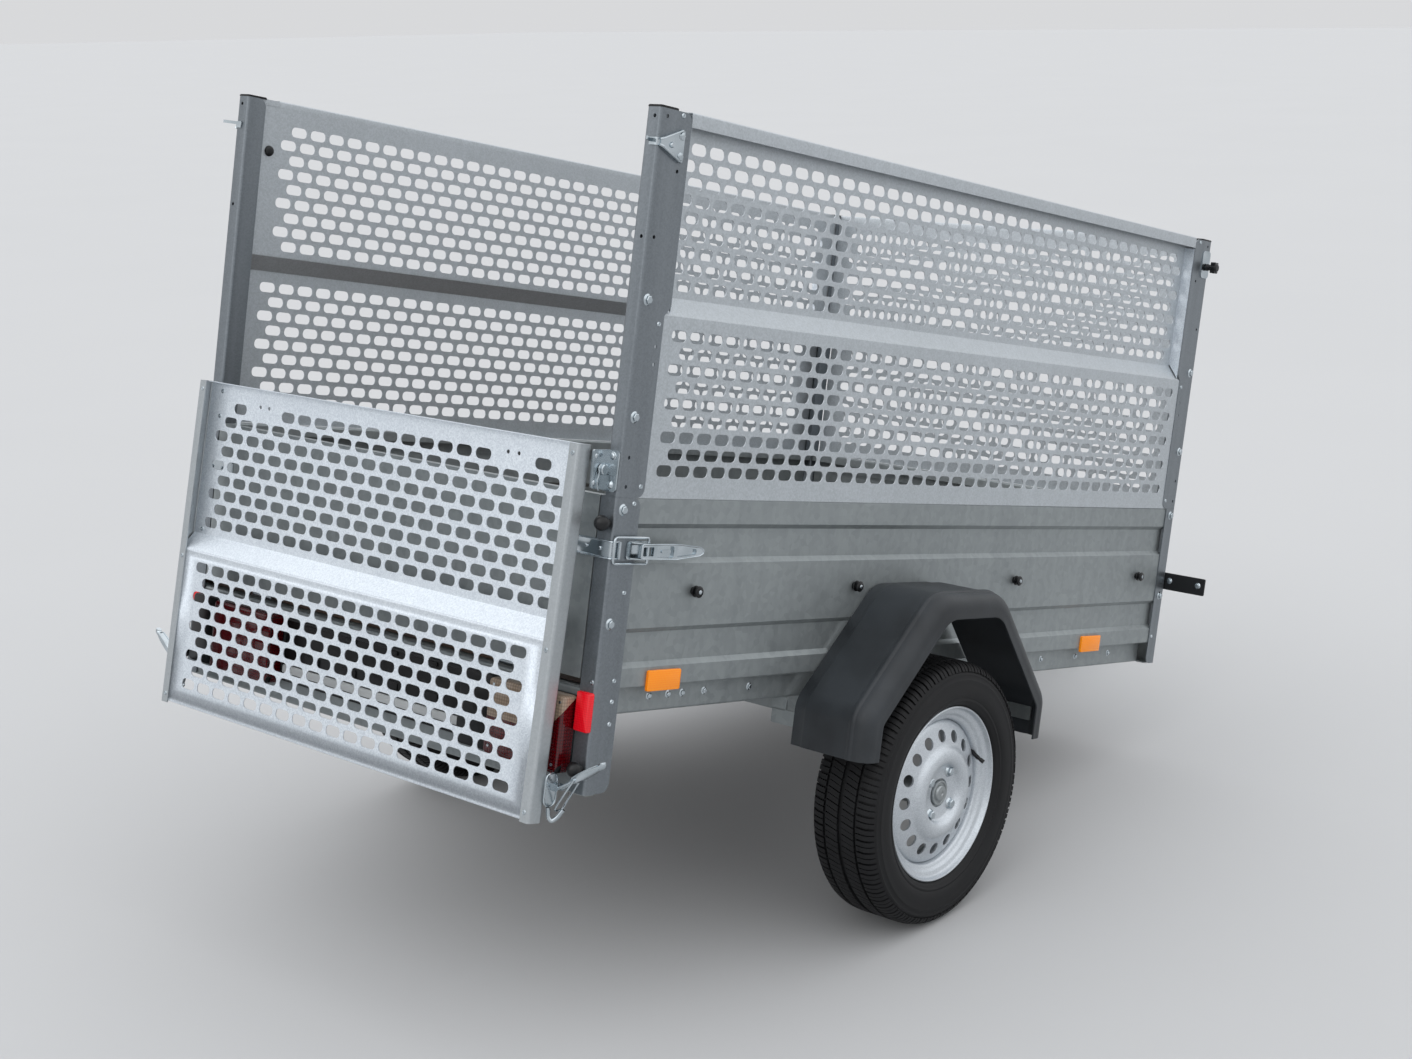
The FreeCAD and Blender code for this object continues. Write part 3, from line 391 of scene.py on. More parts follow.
def tint(tree, factor, low, high, reach=(0.0, 1.0)):
    """Colour between two hex values, along a factor's range."""
    spread = add(tree, "ShaderNodeMapRange", {1: reach[0], 2: reach[1]}, {0: factor})
    ends = {"data_type": "RGBA", 6: linear(low), 7: linear(high)}
    return add(tree, "ShaderNodeMix", ends, {0: spread}).outputs[2]


def zinc_coat(name, dark, light, crystal, spangle, roughness, streak, metallic):
    """Hot-dip zinc on rolled steel: soft grey sheen, fine crystals and rinse marks that run down.

    The crystals of such sheet are 1 to 3 mm; crystal gives the size drawn, in millimetres,
    and spangle their share of the tone beside the rinse marks.
    """
    material, tree, level = start_finish(name)
    crystals = add(tree, "ShaderNodeTexVoronoi", {"Scale": 1000 / crystal, "Randomness": 1.0},
                   {"Vector": level})
    tone = add(tree, "ShaderNodeSeparateColor", links={"Color": crystals.outputs["Color"]})
    cloud = add(tree, "ShaderNodeTexNoise", {"Scale": 2.0, "Detail": 2.0, "Roughness": 0.4},
                {"Vector": level})
    run = add(tree, "ShaderNodeMapping", {"Scale": (38, 38, 1.3)}, {"Vector": level})
    runs = add(tree, "ShaderNodeTexNoise", {"Scale": 1.0, "Detail": 3.0, "Roughness": 0.5}, {"Vector": run})
    wash = add(tree, "ShaderNodeMix", {0: streak}, {2: cloud, 3: runs})
    blend = add(tree, "ShaderNodeMix", {0: spangle}, {2: wash, 3: tone})
    gloss = {1: 0.3, 2: 0.7, 3: roughness - 0.03, 4: roughness + 0.05}
    end_finish(tree, {"Metallic": metallic}, {
        "Base Color": tint(tree, blend, dark, light, (0.25, 0.75)),
        "Roughness": add(tree, "ShaderNodeMapRange", gloss, {0: blend}),
        "Normal": add(tree, "ShaderNodeBump", {"Strength": 0.05, "Distance": 0.0003},
                      {"Height": tone.outputs[1]})})
    return material


def bright_zinc_plate():
    """Electroplated zinc on screws and catches: bright, faintly clouded, softer than chrome."""
    material, tree, level = start_finish("bright zinc plate")
    film = add(tree, "ShaderNodeTexNoise", {"Scale": 30.0, "Detail": 1.0, "Roughness": 0.4},
               {"Vector": level})
    end_finish(tree, {"Metallic": 1.0}, {
        "Base Color": tint(tree, film, "#abb4b9", "#c0c8cd", (0.3, 0.7)),
        "Roughness": add(tree, "ShaderNodeMapRange", {1: 0.3, 2: 0.7, 3: 0.16, 4: 0.20}, {0: film})})
    return material


def silver_wheel_lacquer():
    """Baked silver lacquer on pressed steel: fine metal flake under a soft clear film."""
    material, tree, level = start_finish("silver wheel lacquer")
    flake = add(tree, "ShaderNodeTexVoronoi", {"Scale": 700.0}, {"Vector": level})
    tone = add(tree, "ShaderNodeSeparateColor", links={"Color": flake.outputs["Color"]})
    end_finish(tree, {"Metallic": 0.62, "Roughness": 0.38, "Coat Weight": 0.4, "Coat Roughness": 0.18},
               {"Base Color": tint(tree, tone, "#b3b9bf", "#c9cfd4")})
    return material


def tyre_rubber():
    """Carbon-black rubber, moulded: deep grey with a dull sheen, dusty in patches."""
    material, tree, level = start_finish("tyre rubber")
    dust = add(tree, "ShaderNodeTexNoise", {"Scale": 14.0, "Detail": 6.0, "Roughness": 0.65},
               {"Vector": level})
    grain = add(tree, "ShaderNodeTexNoise", {"Scale": 900.0, "Detail": 2.0}, {"Vector": level})
    end_finish(tree, {"IOR": 1.38}, {
        "Base Color": tint(tree, dust, "#0b0b0d", "#151618", (0.35, 0.7)),
        "Roughness": add(tree, "ShaderNodeMapRange", {3: 0.5, 4: 0.78}, {0: dust}),
        "Normal": add(tree, "ShaderNodeBump", {"Strength": 0.15, "Distance": 0.0004}, {"Height": grain})})
    return material


def moulded_polymer(name, dark, light, roughness, grain_mm):
    """Moulded polyethylene or nylon: an even tone with a fine eroded grain that dulls the gloss."""
    material, tree, level = start_finish(name)
    cloud = add(tree, "ShaderNodeTexNoise", {"Scale": 7.0, "Detail": 4.0}, {"Vector": level})
    grain = add(tree, "ShaderNodeTexNoise", {"Scale": 1000 / grain_mm, "Detail": 3.0}, {"Vector": level})
    end_finish(tree, {"IOR": 1.4}, {
        "Base Color": tint(tree, cloud, dark, light, (0.35, 0.65)),
        "Roughness": add(tree, "ShaderNodeMapRange", {3: roughness - 0.08, 4: roughness + 0.1}, {0: grain}),
        "Normal": add(tree, "ShaderNodeBump", {"Strength": 0.22, "Distance": 0.0005}, {"Height": grain})})
    return material


def lens(name, deep, bright, prism_mm):
    """Acrylic lens over prism optics: saturated body colour with small bright facets."""
    material, tree, level = start_finish(name)
    prisms = add(tree, "ShaderNodeTexVoronoi", {"Scale": 1000 / prism_mm, "Randomness": 0.0},
                 {"Vector": level})
    cells = prisms.outputs["Distance"]
    end_finish(tree, {"Roughness": 0.16, "IOR": 1.45, "Coat Weight": 0.25, "Coat Roughness": 0.05}, {
        "Base Color": tint(tree, cells, bright, deep, (0.0, 0.7)),
        "Normal": add(tree, "ShaderNodeBump", {"Strength": 0.35, "Distance": 0.0008}, {"Height": cells})})
    return material


def film_faced_plywood():
    """Phenolic-film birch plywood: dark brown film with a wire-mesh print against slipping."""
    material, tree, level = start_finish("film-faced plywood")
    turn = add(tree, "ShaderNodeMapping", {"Rotation": (0, 0, math.radians(45))}, {"Vector": level})
    square = {"Scale": 160.0, "Randomness": 0.0, "distance": "CHEBYCHEV"}
    print_cells = add(tree, "ShaderNodeTexVoronoi", square, {"Vector": turn}).outputs["Distance"]
    cloud = add(tree, "ShaderNodeTexNoise", {"Scale": 5.0, "Detail": 4.0}, {"Vector": level})
    end_finish(tree, {"Roughness": 0.42}, {
        "Base Color": tint(tree, cloud, "#3b2a20", "#55402f", (0.35, 0.65)),
        "Normal": add(tree, "ShaderNodeBump", {"Strength": 0.4, "Distance": 0.0006},
                      {"Height": print_cells})})
    return material


WALL_ZINC = zinc_coat("wet galvanised wall sheet", "#8f9896", "#a3acab", 4.0, 0.16, 0.34, 0.95, 0.85)
SIDE_ZINC = zinc_coat("fine-crystal galvanised side sheet", "#a9afb3", "#bbc1c6", 3.0, 0.40, 0.40, 0.5, 0.60)
# the gate's light tone is its newer, more diffuse zinc, raised partly as painted light from behind; on the
# side sheets' end flanges it is only painted light
GATE_ZINC_AND_PAINTED_LIGHT = zinc_coat("new galvanised gate sheet with painted light", "#c4ccd4", "#dbe2e8", 2.5, 0.50, 0.40, 0.3, 0.60)
CHANNEL_ZINC = zinc_coat("galvanised gate channel", "#9ea4a7", "#b2b7ba", 3.0, 0.20, 0.36, 0.8, 0.75)
POST_ZINC = zinc_coat("galvanised post section", "#72787d", "#868c91", 3.0, 0.22, 0.36, 0.8, 0.85)
HUB_STEEL = zinc_coat("turned hub steel, dull zinc", "#8f9496", "#a8adae", 4.0, 0.22, 0.36, 0.3, 0.9)
FRAME_ZINC = zinc_coat("batch-dipped chassis steel", "#848a8c", "#9aa0a1", 12.0, 0.22, 0.5, 0.5, 0.7)
BRIGHT = bright_zinc_plate()
WHEEL_SILVER = silver_wheel_lacquer()
RUBBER = tyre_rubber()
POLYETHYLENE = moulded_polymer("moulded polyethylene", "#232629", "#33373b", 0.46, 2.5)
NYLON = moulded_polymer("black nylon", "#090a0b", "#141517", 0.30, 1.5)
BLACK_PAINT = moulded_polymer("black powder-coated steel", "#141517", "#1e2022", 0.42, 2.0)
PALE_STRIP = moulded_polymer("pale grey moulded strip", "#b9bcbd", "#c8cbcb", 0.4, 3.0)
RED_LENS = lens("red acrylic lamp lens", "#2c0004", "#62040c", 6.0)
RED_REFLECTOR = lens("red reflector", "#d40010", "#f5162a", 4.0)
AMBER_REFLECTOR = lens("amber reflector", "#ff8600", "#ffa008", 4.0)
CLEAR_LENS = lens("clear acrylic lens", "#78695b", "#a6937f", 6.0)
PLYWOOD = film_faced_plywood()

SLOT_FINISH = {
    "galvanized": FRAME_ZINC, "galvanized_sheet": WALL_ZINC, "bright_zinc": BRIGHT,
    "rim_paint": WHEEL_SILVER,
    "tyre": RUBBER, "black_plastic": NYLON, "plywood": PLYWOOD, "red_lens": RED_LENS,
    "red_reflector": RED_REFLECTOR, "amber_reflector": AMBER_REFLECTOR,
}


def coat_cad_nodes():
    """Every carried-over node takes the finish of its own place, or of its slot."""
    own = {"post": POST_ZINC, "joiner": POST_ZINC, "channel": CHANNEL_ZINC, "mudguard_brackets": FRAME_ZINC}
    for name, node in frame["nodes"].items():
        finish = next((f for part, f in own.items() if part in name), None)
        if finish is None or name in ("post_caps", "post_knobs"):
            base = node.data.materials[0].name.split(".")[0] if node.data.materials else "galvanized"
            finish = SLOT_FINISH.get(base, FRAME_ZINC)
        for i in range(len(node.data.materials)):
            node.data.materials[i] = finish


coat_cad_nodes()


# ==== perforated sheets =====================================================================
SHEET, BEND = 1.5, 2.0            # gauge of the perforated sheets, inside radius of a fold
FIT = 0.3                         # gap between parts that are fastened together
SLOT = (40.0, 20.5, 9.0)          # width, height and corner radius of a slot
PITCH, ROW_PITCH = 50.0, 29.6     # slot to slot along a row, and row to row
PIN_HOLE = 4.0                    # radius of the small holes in the gate's upper corners
SHEET_STEP = (350.0, 319.0)       # heights between which the side and front sheets step outwards
LOWEST_ROWS = (373.3, 48.7)       # lowest row of slots above and below the step
RECESS = 24.9                     # depth of the step


def perforation_tree():
    """Flat sheet with a slot or a pin hole punched at every vertex of the incoming mesh."""
    tree, given = new_tree("perforated sheet", (
        "Width", "Height", "Slot Width", "Slot Height", "Slot Corner", "Pin Radius", "Sheet"))
    blank = add(tree, "GeometryNodeCurvePrimitiveQuadrilateral",
                links={"Width": given["Width"], "Height": given["Height"]})
    slot = add(tree, "GeometryNodeCurvePrimitiveQuadrilateral",
               links={"Width": given["Slot Width"], "Height": given["Slot Height"]})
    slot = add(tree, "GeometryNodeFilletCurve", {"mode": "POLY", "Count": 3, "Limit Radius": True},
               {"Curve": slot, "Radius": given["Slot Corner"]})
    pin = add(tree, "GeometryNodeCurvePrimitiveCircle", {"Resolution": 12}, {"Radius": given["Pin Radius"]})
    is_pin = add(tree, "GeometryNodeInputNamedAttribute", {"data_type": "BOOLEAN", "Name": "pin"})
    not_pin = add(tree, "FunctionNodeBooleanMath", {"operation": "NOT"}, {0: is_pin})
    outlines = [blank]
    for chosen, hole in ((not_pin, slot), (is_pin, pin)):
        outlines.append(add(tree, "GeometryNodeInstanceOnPoints", links={
            "Points": given["Geometry"], "Selection": chosen, "Instance": hole}))
    outlines = add(tree, "GeometryNodeJoinGeometry", links={"Geometry": outlines})
    real = add(tree, "GeometryNodeRealizeInstances", links={"Geometry": outlines})
    face = add(tree, "GeometryNodeFillCurve", {"mode": "TRIANGLES"}, {"Curve": real})
    back = add(tree, "GeometryNodeFlipFaces", links={"Mesh": face})
    front = add(tree, "GeometryNodeExtrudeMesh", {"mode": "FACES", "Individual": False},
                {"Mesh": face, "Offset Scale": given["Sheet"]})
    both = add(tree, "GeometryNodeJoinGeometry", links={"Geometry": [back, front]})
    whole = add(tree, "GeometryNodeMergeByDistance", {"Distance": 0.01}, {"Geometry": both})
    return close_tree(tree, whole, given["Finish"])


PERFORATION = perforation_tree()


def punched(width, height, slots, pins, finish):
    """Perforated plate about its own middle, its outer side up."""
    seed = bpy.data.meshes.new("places")
    seed.from_pydata([(u, v, 0) for u, v in slots + pins], [], [])
    mark = seed.attributes.new("pin", "BOOLEAN", "POINT")
    mark.data.foreach_set("value", [False] * len(slots) + [True] * len(pins))
    return run_tree(PERFORATION, seed, {
        "Width": width, "Height": height, "Slot Width": SLOT[0], "Slot Height": SLOT[1],
        "Slot Corner": SLOT[2],
        "Pin Radius": PIN_HOLE, "Sheet": SHEET, "Finish": finish})


def staggered(counts, low, row_pitch=ROW_PITCH):
    """Slot centres (along, up) for rows with the given counts, centred on 0, from the lowest row up."""
    return [((i - (count - 1) / 2) * PITCH, low + row * row_pitch)
            for row, count in enumerate(counts) for i in range(count)]


def plate_matrix(along, up, origin):
    """Places a flat plate: its x runs along, its y up, its outer side out of both."""
    along, up = Vector(along), Vector(up)
    out = along.cross(up)
    return Matrix.Translation(Vector(origin)) @ Matrix((along, up, out)).transposed().to_4x4()


def stepped_panel(along_axis, top, foot, reach, ends, recessed, flush, counts):
    """Side or front sheet: lipped rim, recessed slotted half, sloping step and flush slotted half.

    The recessed and the flush plane are distances outwards from the middle of the trailer.
    """
    step_top, step_bottom = SHEET_STEP
    x0, x1 = reach
    bm = bmesh.new()
    plane, sign = ("yz", -1) if along_axis == "x" else ("xz", 1)

    def path(*points):
        return [(sign * outwards, z) for outwards, z in points]

    # the rim and the step run down the outer face; the sheet lies on their inner side
    rim = path((flush, top - 24), (flush, top), (recessed, top), (recessed, top - 12))
    band = path((recessed, step_top + 6), (recessed, step_top), (flush, step_bottom),
                (flush, step_bottom - 6))
    edge = path((recessed - SHEET, top - 12.5), (recessed - SHEET, top), (recessed, top),
                (recessed, top - 12.5))
    for a, b in ((x0, ends[0]), (ends[1], x1)):
        if b - a > 1:
            push(bm, edge[::sign], plane, a, b)
    for fold, (a, b) in ((rim, ends), (band, (x0, x1))):
        push(bm, folded(fold[::-sign], SHEET, BEND), plane, a, b)
    for distance, z0, z1, count, low in (
            (recessed, step_top + 6, top - 12, counts[0], LOWEST_ROWS[0]),
            (flush, foot, step_bottom - 6, counts[1], LOWEST_ROWS[1])):
        middle, centre = (x0 + x1) / 2, (z0 + z1) / 2
        plate = punched(x1 - x0, z1 - z0, staggered(count, low - centre), [], SIDE_ZINC)
        if along_axis == "x":
            matrix = plate_matrix((1, 0, 0), (0, 0, 1), (middle, -distance + SHEET, centre))
        else:
            matrix = plate_matrix((0, 1, 0), (0, 0, 1), (distance - SHEET, middle, centre))
        join(bm, plate, matrix)
    return bm


def side_sheets():
    low, high = level_box("mesh_side_right")
    flush = -low.y
    recessed = flush - RECESS
    rim_start = level_box("extension_post_rear_right")[1].x + FIT
    rim_end = LENGTH - rim_start
    reach = (low.x if low.x > 10 else 30.0, LENGTH - 30.0)
    for side in ("right", "left"):
        bm = stepped_panel("x", high.z, low.z, reach, (rim_start, rim_end), recessed, flush,
                           ([37, 38] * 4 + [37], [38, 37] * 4 + [38]))
        # flanges that close both ends of the recessed half; they take the lighter gate zinc as painted
        # light, for the light that falls on them from behind
        flange = [(-flush, 323.0), (-recessed, 354.0), (-recessed, high.z - 26), (-flush, high.z - 26)]
        for x in (rim_start, rim_end - SHEET):
            push(bm, flange, "yz", x, x + SHEET, 1)
        if side == "left":
            bm = mirror_image(bm)
        seal("mesh_side_%s_slotted" % side, bm, [SIDE_ZINC, GATE_ZINC_AND_PAINTED_LIGHT], "trailer", "galvanized_sheet",
             ["mesh_side_%s" % side])


def front_sheet():
    low, high = level_box("mesh_front")
    ends = (low.y, high.y)
    bm = stepped_panel("y", high.z, low.z, ends, ends, LENGTH - 32.0, high.x,
                       ([20, 19] * 4 + [20], [19, 20] * 4 + [19]))
    seal("mesh_front_slotted", bm, [SIDE_ZINC], "trailer", "galvanized_sheet", ["mesh_front"])


GATE_LEAN = math.radians(2.0)
GATE_TOP, GATE_LENGTH = -39.0, 660.0      # gate's upper edge down from the pin, and its length


def on_gate(out, down):
    """Gate coordinates (out behind the pin line, down below the pin) to level x and z."""
    return (PIN.x - out * math.cos(GATE_LEAN) - down * math.sin(GATE_LEAN),
            PIN.z - down * math.cos(GATE_LEAN) + out * math.sin(GATE_LEAN))


def gate_sheet():
    half = level_box("gate_panel")[1].y
    top, foot = GATE_TOP, GATE_TOP + GATE_LENGTH - 4
    near, far = 22.8, 49.0 - FIT
    start, end = top + 310.0, top + 341.0
    bm = bmesh.new()
    down_out = Vector((-math.sin(GATE_LEAN), 0, -math.cos(GATE_LEAN)))
    lip = [(near + 12, top), (near, top), (near, top + 10)]
    band = [(near, start - 6), (near, start), (far, end), (far, end + 6)]
    hem = [(far, foot - 10), (far, foot), (far - 14, foot)]
    for path in (lip, band, hem):
        ring = folded([on_gate(o, d) for o, d in path][::-1], SHEET, BEND)
        push(bm, ring, "xz", -half, half)
    last_row = 245.0
    upper = staggered([20, 19] * 4, last_row, -ROW_PITCH)
    partial = [(u * PITCH, last_row - 8 * ROW_PITCH) for u in (-8.5, *(n - 5.5 for n in range(12)), 8.5)]
    pins = [(s * p, -3.0) for s in (-1, 1) for p in (336.0, 363.0)]
    lower = staggered([19, 18] * 4 + [19], 334.5, 29.7)
    for out, d0, d1, slots, holes in ((near, top + 10, start - 6, upper + partial, pins),
                                      (far, end + 6, foot - 10, lower, [])):
        centre = (d0 + d1) / 2
        x, z = on_gate(out, centre)
        slots, holes = ([(u, centre - v) for u, v in places] for places in (slots, holes))
        plate = punched(2 * half, d1 - d0, slots, holes, GATE_ZINC_AND_PAINTED_LIGHT)
        join(bm, plate, plate_matrix((0, -1, 0), -down_out, (x, 0, z)))
    seal("gate_panel_slotted", bm, [GATE_ZINC_AND_PAINTED_LIGHT], "gate", "galvanized_sheet", ["gate_panel"])


side_sheets()
front_sheet()
gate_sheet()


# ==== fasteners =============================================================================
def on_facing(tree, seed):
    """Turn that stands a head up along its vertex's facing, spun by a random angle."""
    facing = add(tree, "GeometryNodeInputNamedAttribute", {"data_type": "FLOAT_VECTOR", "Name": "facing"})
    upright = add(tree, "FunctionNodeAlignRotationToVector", {"axis": "Z"}, {"Vector": facing})
    spin = add(tree, "FunctionNodeRandomValue", {"data_type": "FLOAT", 2: 0.0, 3: 6.283, "Seed": seed})
    about = add(tree, "FunctionNodeEulerToRotation",
                links={0: add(tree, "ShaderNodeCombineXYZ", links={"Z": spin.outputs[1]})})
    return add(tree, "FunctionNodeRotateRotation", {"rotation_space": "LOCAL"}, {0: upright, 1: about})


HEAD_SIZES = ("Collar Radius", "Collar Height", "Head Radius", "Head Height", "Crown Radius", "Crown Height")


def head_tree():
    """Screw head with its collar and a chamfered crown on every vertex of the incoming mesh."""
    tree, given = new_tree("screw heads", HEAD_SIZES, ["Sides"])
    collar = add(tree, "GeometryNodeMeshCone", {"Vertices": 20}, {
        "Radius Top": given["Head Radius"], "Radius Bottom": given["Collar Radius"],
        "Depth": given["Collar Height"]})
    head, crown = (add(tree, "GeometryNodeMeshCone", links={
        "Vertices": given["Sides"], "Radius Top": given[part + " Radius"],
        "Radius Bottom": given["Head Radius"], "Depth": given[part + " Height"]})
        for part in ("Head", "Crown"))
    lift = add(tree, "ShaderNodeCombineXYZ", links={"Z": given["Head Height"]})
    crown = add(tree, "GeometryNodeTransform", links={"Geometry": crown, "Translation": lift})
    whole = add(tree, "GeometryNodeJoinGeometry", links={"Geometry": [collar, head, crown]})
    placed = add(tree, "GeometryNodeInstanceOnPoints", links={
        "Points": given["Geometry"], "Instance": whole, "Rotation": on_facing(tree, 5)})
    return close_tree(tree, placed, given["Finish"])


def rivet_tree():
    """Blind rivet on every vertex: a round domed rim with the broken stem's hole in its middle."""
    tree, given = new_tree("blind rivets", ("Rim Radius", "Dome Radius"))
    path = add(tree, "GeometryNodeCurvePrimitiveCircle", {"Resolution": 12}, {"Radius": given["Rim Radius"]})
    dome = add(tree, "GeometryNodeCurvePrimitiveCircle", {"Resolution": 6}, {"Radius": given["Dome Radius"]})
    ring = add(tree, "GeometryNodeCurveToMesh", links={"Curve": path, "Profile Curve": dome})
    placed = add(tree, "GeometryNodeInstanceOnPoints", links={
        "Points": given["Geometry"], "Instance": ring, "Rotation": on_facing(tree, 9)})
    return close_tree(tree, placed, given["Finish"])


HEADS, RIVETS = head_tree(), rivet_tree()
# the six head sizes and the head's number of sides
FLANGE_BOLT = (10.5, 2.2, 7.6, 4.8, 6.2, 1.2, 6)
SMALL_BOLT = (7.5, 1.2, 5.2, 3.2, 4.0, 0.8, 6)
DOMED_SCREW = (7.2, 1.0, 6.2, 1.6, 3.4, 1.4, 14)
PAN_SCREW = (4.0, 0.5, 3.6, 1.2, 2.2, 0.7, 12)
RIVET = (2.7, 2.0)                 # radius of its rim and of the dome round it


def placed_heads(kind, finish, places):
    """Fasteners of one kind at (point, facing) places, as bmesh in level millimetres."""
    seed = bpy.data.meshes.new("places")
    seed.from_pydata([tuple(point) for point, facing in places], [], [])
    mark = seed.attributes.new("facing", "FLOAT_VECTOR", "POINT")
    mark.data.foreach_set("vector", [c for point, facing in places for c in facing])
    if kind == RIVET:
        return run_tree(RIVETS, seed, {"Rim Radius": kind[0], "Dome Radius": kind[1], "Finish": finish})
    return run_tree(HEADS, seed, {**dict(zip((*HEAD_SIZES, "Sides"), kind)), "Finish": finish})


def both_sides(places):
    """The same places on the other side of the trailer too."""
    return places + [((x, -y, z), (a, -b, c)) for (x, y, z), (a, b, c) in places]


RIGHTWARDS, REARWARDS = (0, -1, 0), (-1, 0, 0)


def trailer_fasteners():
    """Bolts and rivets of the posts, walls, rails and marker plates."""
    side = -HALF
    bolts = [(x, side, z) for x, z in ((20, 340.7), (20.7, 139.3), (18, -21), (17, -220.7), (2060, 339),
                                       (2060, 143), (2060, -17), (2060, -219))]
    rivets = [(x, side, z) for x, z in ((59, 657.6), (56, 302), (56.7, 20), (45, -10), (45, -166),
                                        (45, -322), (45, -359), (45, -399), (2021, 657), (2023, 302),
                                        (2023, 20), (2048, -322))]
    screws = [(59.2, side - 2.8, 622.7), (59.2, side - 2.8, 588.4)]
    rail = level_box("side_rail_right")[0].y
    rail_bolts = [(x, rail, -361) for x in (173, 226, 266, 329, 464, 1560, 1720, 1880)]
    marker = [(LENGTH + FIT, y, z) for y, z in ((-556.0, -168), (-556.0, -193),
                                                (-585.0, -180), (-662.0, -180))]
    hinge_bolts = [(-4.0, -556.0, z) for z in (70, 20)]
    finished = [
        (FLANGE_BOLT, BRIGHT, [(p, RIGHTWARDS) for p in bolts]),
        (RIVET, BRIGHT, [(p, RIGHTWARDS) for p in rivets] + [((-0.2, -562.0, -324.0), REARWARDS)]
         + [((x, side + 2.1, z), (0, 1, 0)) for x, _, z in rivets[:3]]),
        (DOMED_SCREW, BRIGHT, [(p, RIGHTWARDS) for p in screws] + [(p, REARWARDS) for p in hinge_bolts]),
        (SMALL_BOLT, BRIGHT, [(p, RIGHTWARDS) for p in rail_bolts] + [(p, REARWARDS) for p in marker]
         + [((x + 4.0, y, z), (1, 0, 0)) for x, y, z in marker]),
    ]
    bm = bmesh.new()
    for kind, finish, places in finished:
        join(bm, placed_heads(kind, finish, both_sides(places)))
    seal("trailer_fasteners", bm, [BRIGHT], "trailer", "bright_zinc")


def gate_fasteners():
    """Rivets through the side channels and the slotted sheet of the gate."""
    outwards = (-math.cos(GATE_LEAN), 0, math.sin(GATE_LEAN))
    rivets = []
    for across, along, out in ((517.0, 358.0, 53.0), (517.0, 642.0, 53.0), (517.0, 17.0, 53.0),
                               (488.0, 17.0, 24.3), (488.0, 67.0, 24.3), (500.0, 300.0, 24.3)):
        x, z = on_gate(out, GATE_TOP + along)
        rivets.append(((x, -across, z), outwards))
    seal("gate_rivets", placed_heads(RIVET, BRIGHT, both_sides(rivets)), [BRIGHT], "gate", "bright_zinc")


trailer_fasteners()
gate_fasteners()


# ==== wheels ================================================================================
def around_tree():
    """Repeats the incoming mesh evenly about the wheel's axle."""
    tree, given = new_tree("repeat about the axle", (), ["Count"])
    one = add(tree, "GeometryNodeGeometryToInstance", links={"Geometry": given["Geometry"]})
    many = add(tree, "GeometryNodeDuplicateElements", {"domain": "INSTANCE"},
               {"Geometry": one, "Amount": given["Count"]})
    step = add(tree, "ShaderNodeMath", {"operation": "DIVIDE", 0: 2 * math.pi}, {1: given["Count"]})
    turn = add(tree, "ShaderNodeMath", {"operation": "MULTIPLY"},
               {0: many.outputs["Duplicate Index"], 1: step})
    about = add(tree, "ShaderNodeCombineXYZ", links={"Y": turn})
    turned_ones = add(tree, "GeometryNodeRotateInstances", {"Local Space": False},
                      {"Instances": many, "Rotation": about})
    return close_tree(tree, turned_ones, given["Finish"])


def drilled_tree():
    """Takes a ring of round holes about the wheel's axle out of the incoming mesh."""
    tree, given = new_tree("ring of holes", ("Circle", "Hole Radius", "Start"), ["Count"])
    places = add(tree, "GeometryNodeMeshCircle",
                 links={"Vertices": given["Count"], "Radius": given["Circle"]})
    spin = add(tree, "ShaderNodeCombineXYZ", links={"Z": given["Start"]})
    places = add(tree, "GeometryNodeTransform", links={"Geometry": places, "Rotation": spin})
    drill = add(tree, "GeometryNodeMeshCylinder", {"Vertices": 28, "Depth": 80.0},
                {"Radius": given["Hole Radius"]})
    drills = add(tree, "GeometryNodeInstanceOnPoints", links={"Points": places, "Instance": drill})
    drills = add(tree, "GeometryNodeRealizeInstances", links={"Geometry": drills})
    drills = add(tree, "GeometryNodeTransform", {"Rotation": (math.pi / 2, 0, 0),
                                                 "Translation": (0, -45, 0)},
                 {"Geometry": drills})
    cut_out = add(tree, "GeometryNodeMeshBoolean", {"operation": "DIFFERENCE", "solver": "EXACT"},
                  {"Mesh 1": given["Geometry"], "Mesh 2": drills})
    return close_tree(tree, cut_out, given["Finish"])


AROUND, DRILLED = around_tree(), drilled_tree()


def arc_piece(bm, section, start, end, skew=0.0, steps=2):
    """Section of (across, radius) points carried about the axle between two angles."""
    rings = []
    for k in range(steps + 1):
        ring = []
        for across, radius in section:
            a = start + (end - start) * k / steps + skew * across
            ring.append(bm.verts.new((radius * math.sin(a), across, radius * math.cos(a))))
        rings.append(ring)
    skin(bm, rings, ends=False)
    bm.faces.new(rings[0])
    bm.faces.new(rings[-1][::-1])


TREAD_PITCHES = 66
BOLT_TURN = math.radians(59)       # first wheel bolt, from the x axis up
BOLT_CIRCLE = 50.0
ROUND = 144                        # steps in which the tyre and the rim are turned


def tread(finish):
    """Four ribs of tread blocks, parted by sipes; the outer ones roll over the shoulders."""
    pitch = 2 * math.pi / TREAD_PITCHES
    bm = bmesh.new()
    rib = [(5.0, 266.0), (5.0, 273.3), (6.0, 273.45), (33.0, 273.3), (34.0, 273.1), (34.0, 266.0)]
    shoulder = [(39.5, 266.0), (39.5, 273.0), (41.0, 273.15), (53.0, 272.0), (62.0, 269.0), (68.5, 264.0),
                (73.5, 256.0), (71.0, 254.5), (64.0, 262.5), (54.0, 266.0)]
    for sign in (-1, 1):
        for section, gap, skew in ((rib, 0.05, 0.0011), (shoulder, 0.09, 0.0004)):
            placed = [(sign * across, radius) for across, radius in section]
            arc_piece(bm, placed, gap * pitch, (0.5 - gap / 2) * pitch, skew)
            arc_piece(bm, placed, (0.5 + gap / 2) * pitch, (1 - gap) * pitch, skew)
    return run_tree(AROUND, as_mesh(mended(bm)), {"Count": TREAD_PITCHES, "Finish": finish})


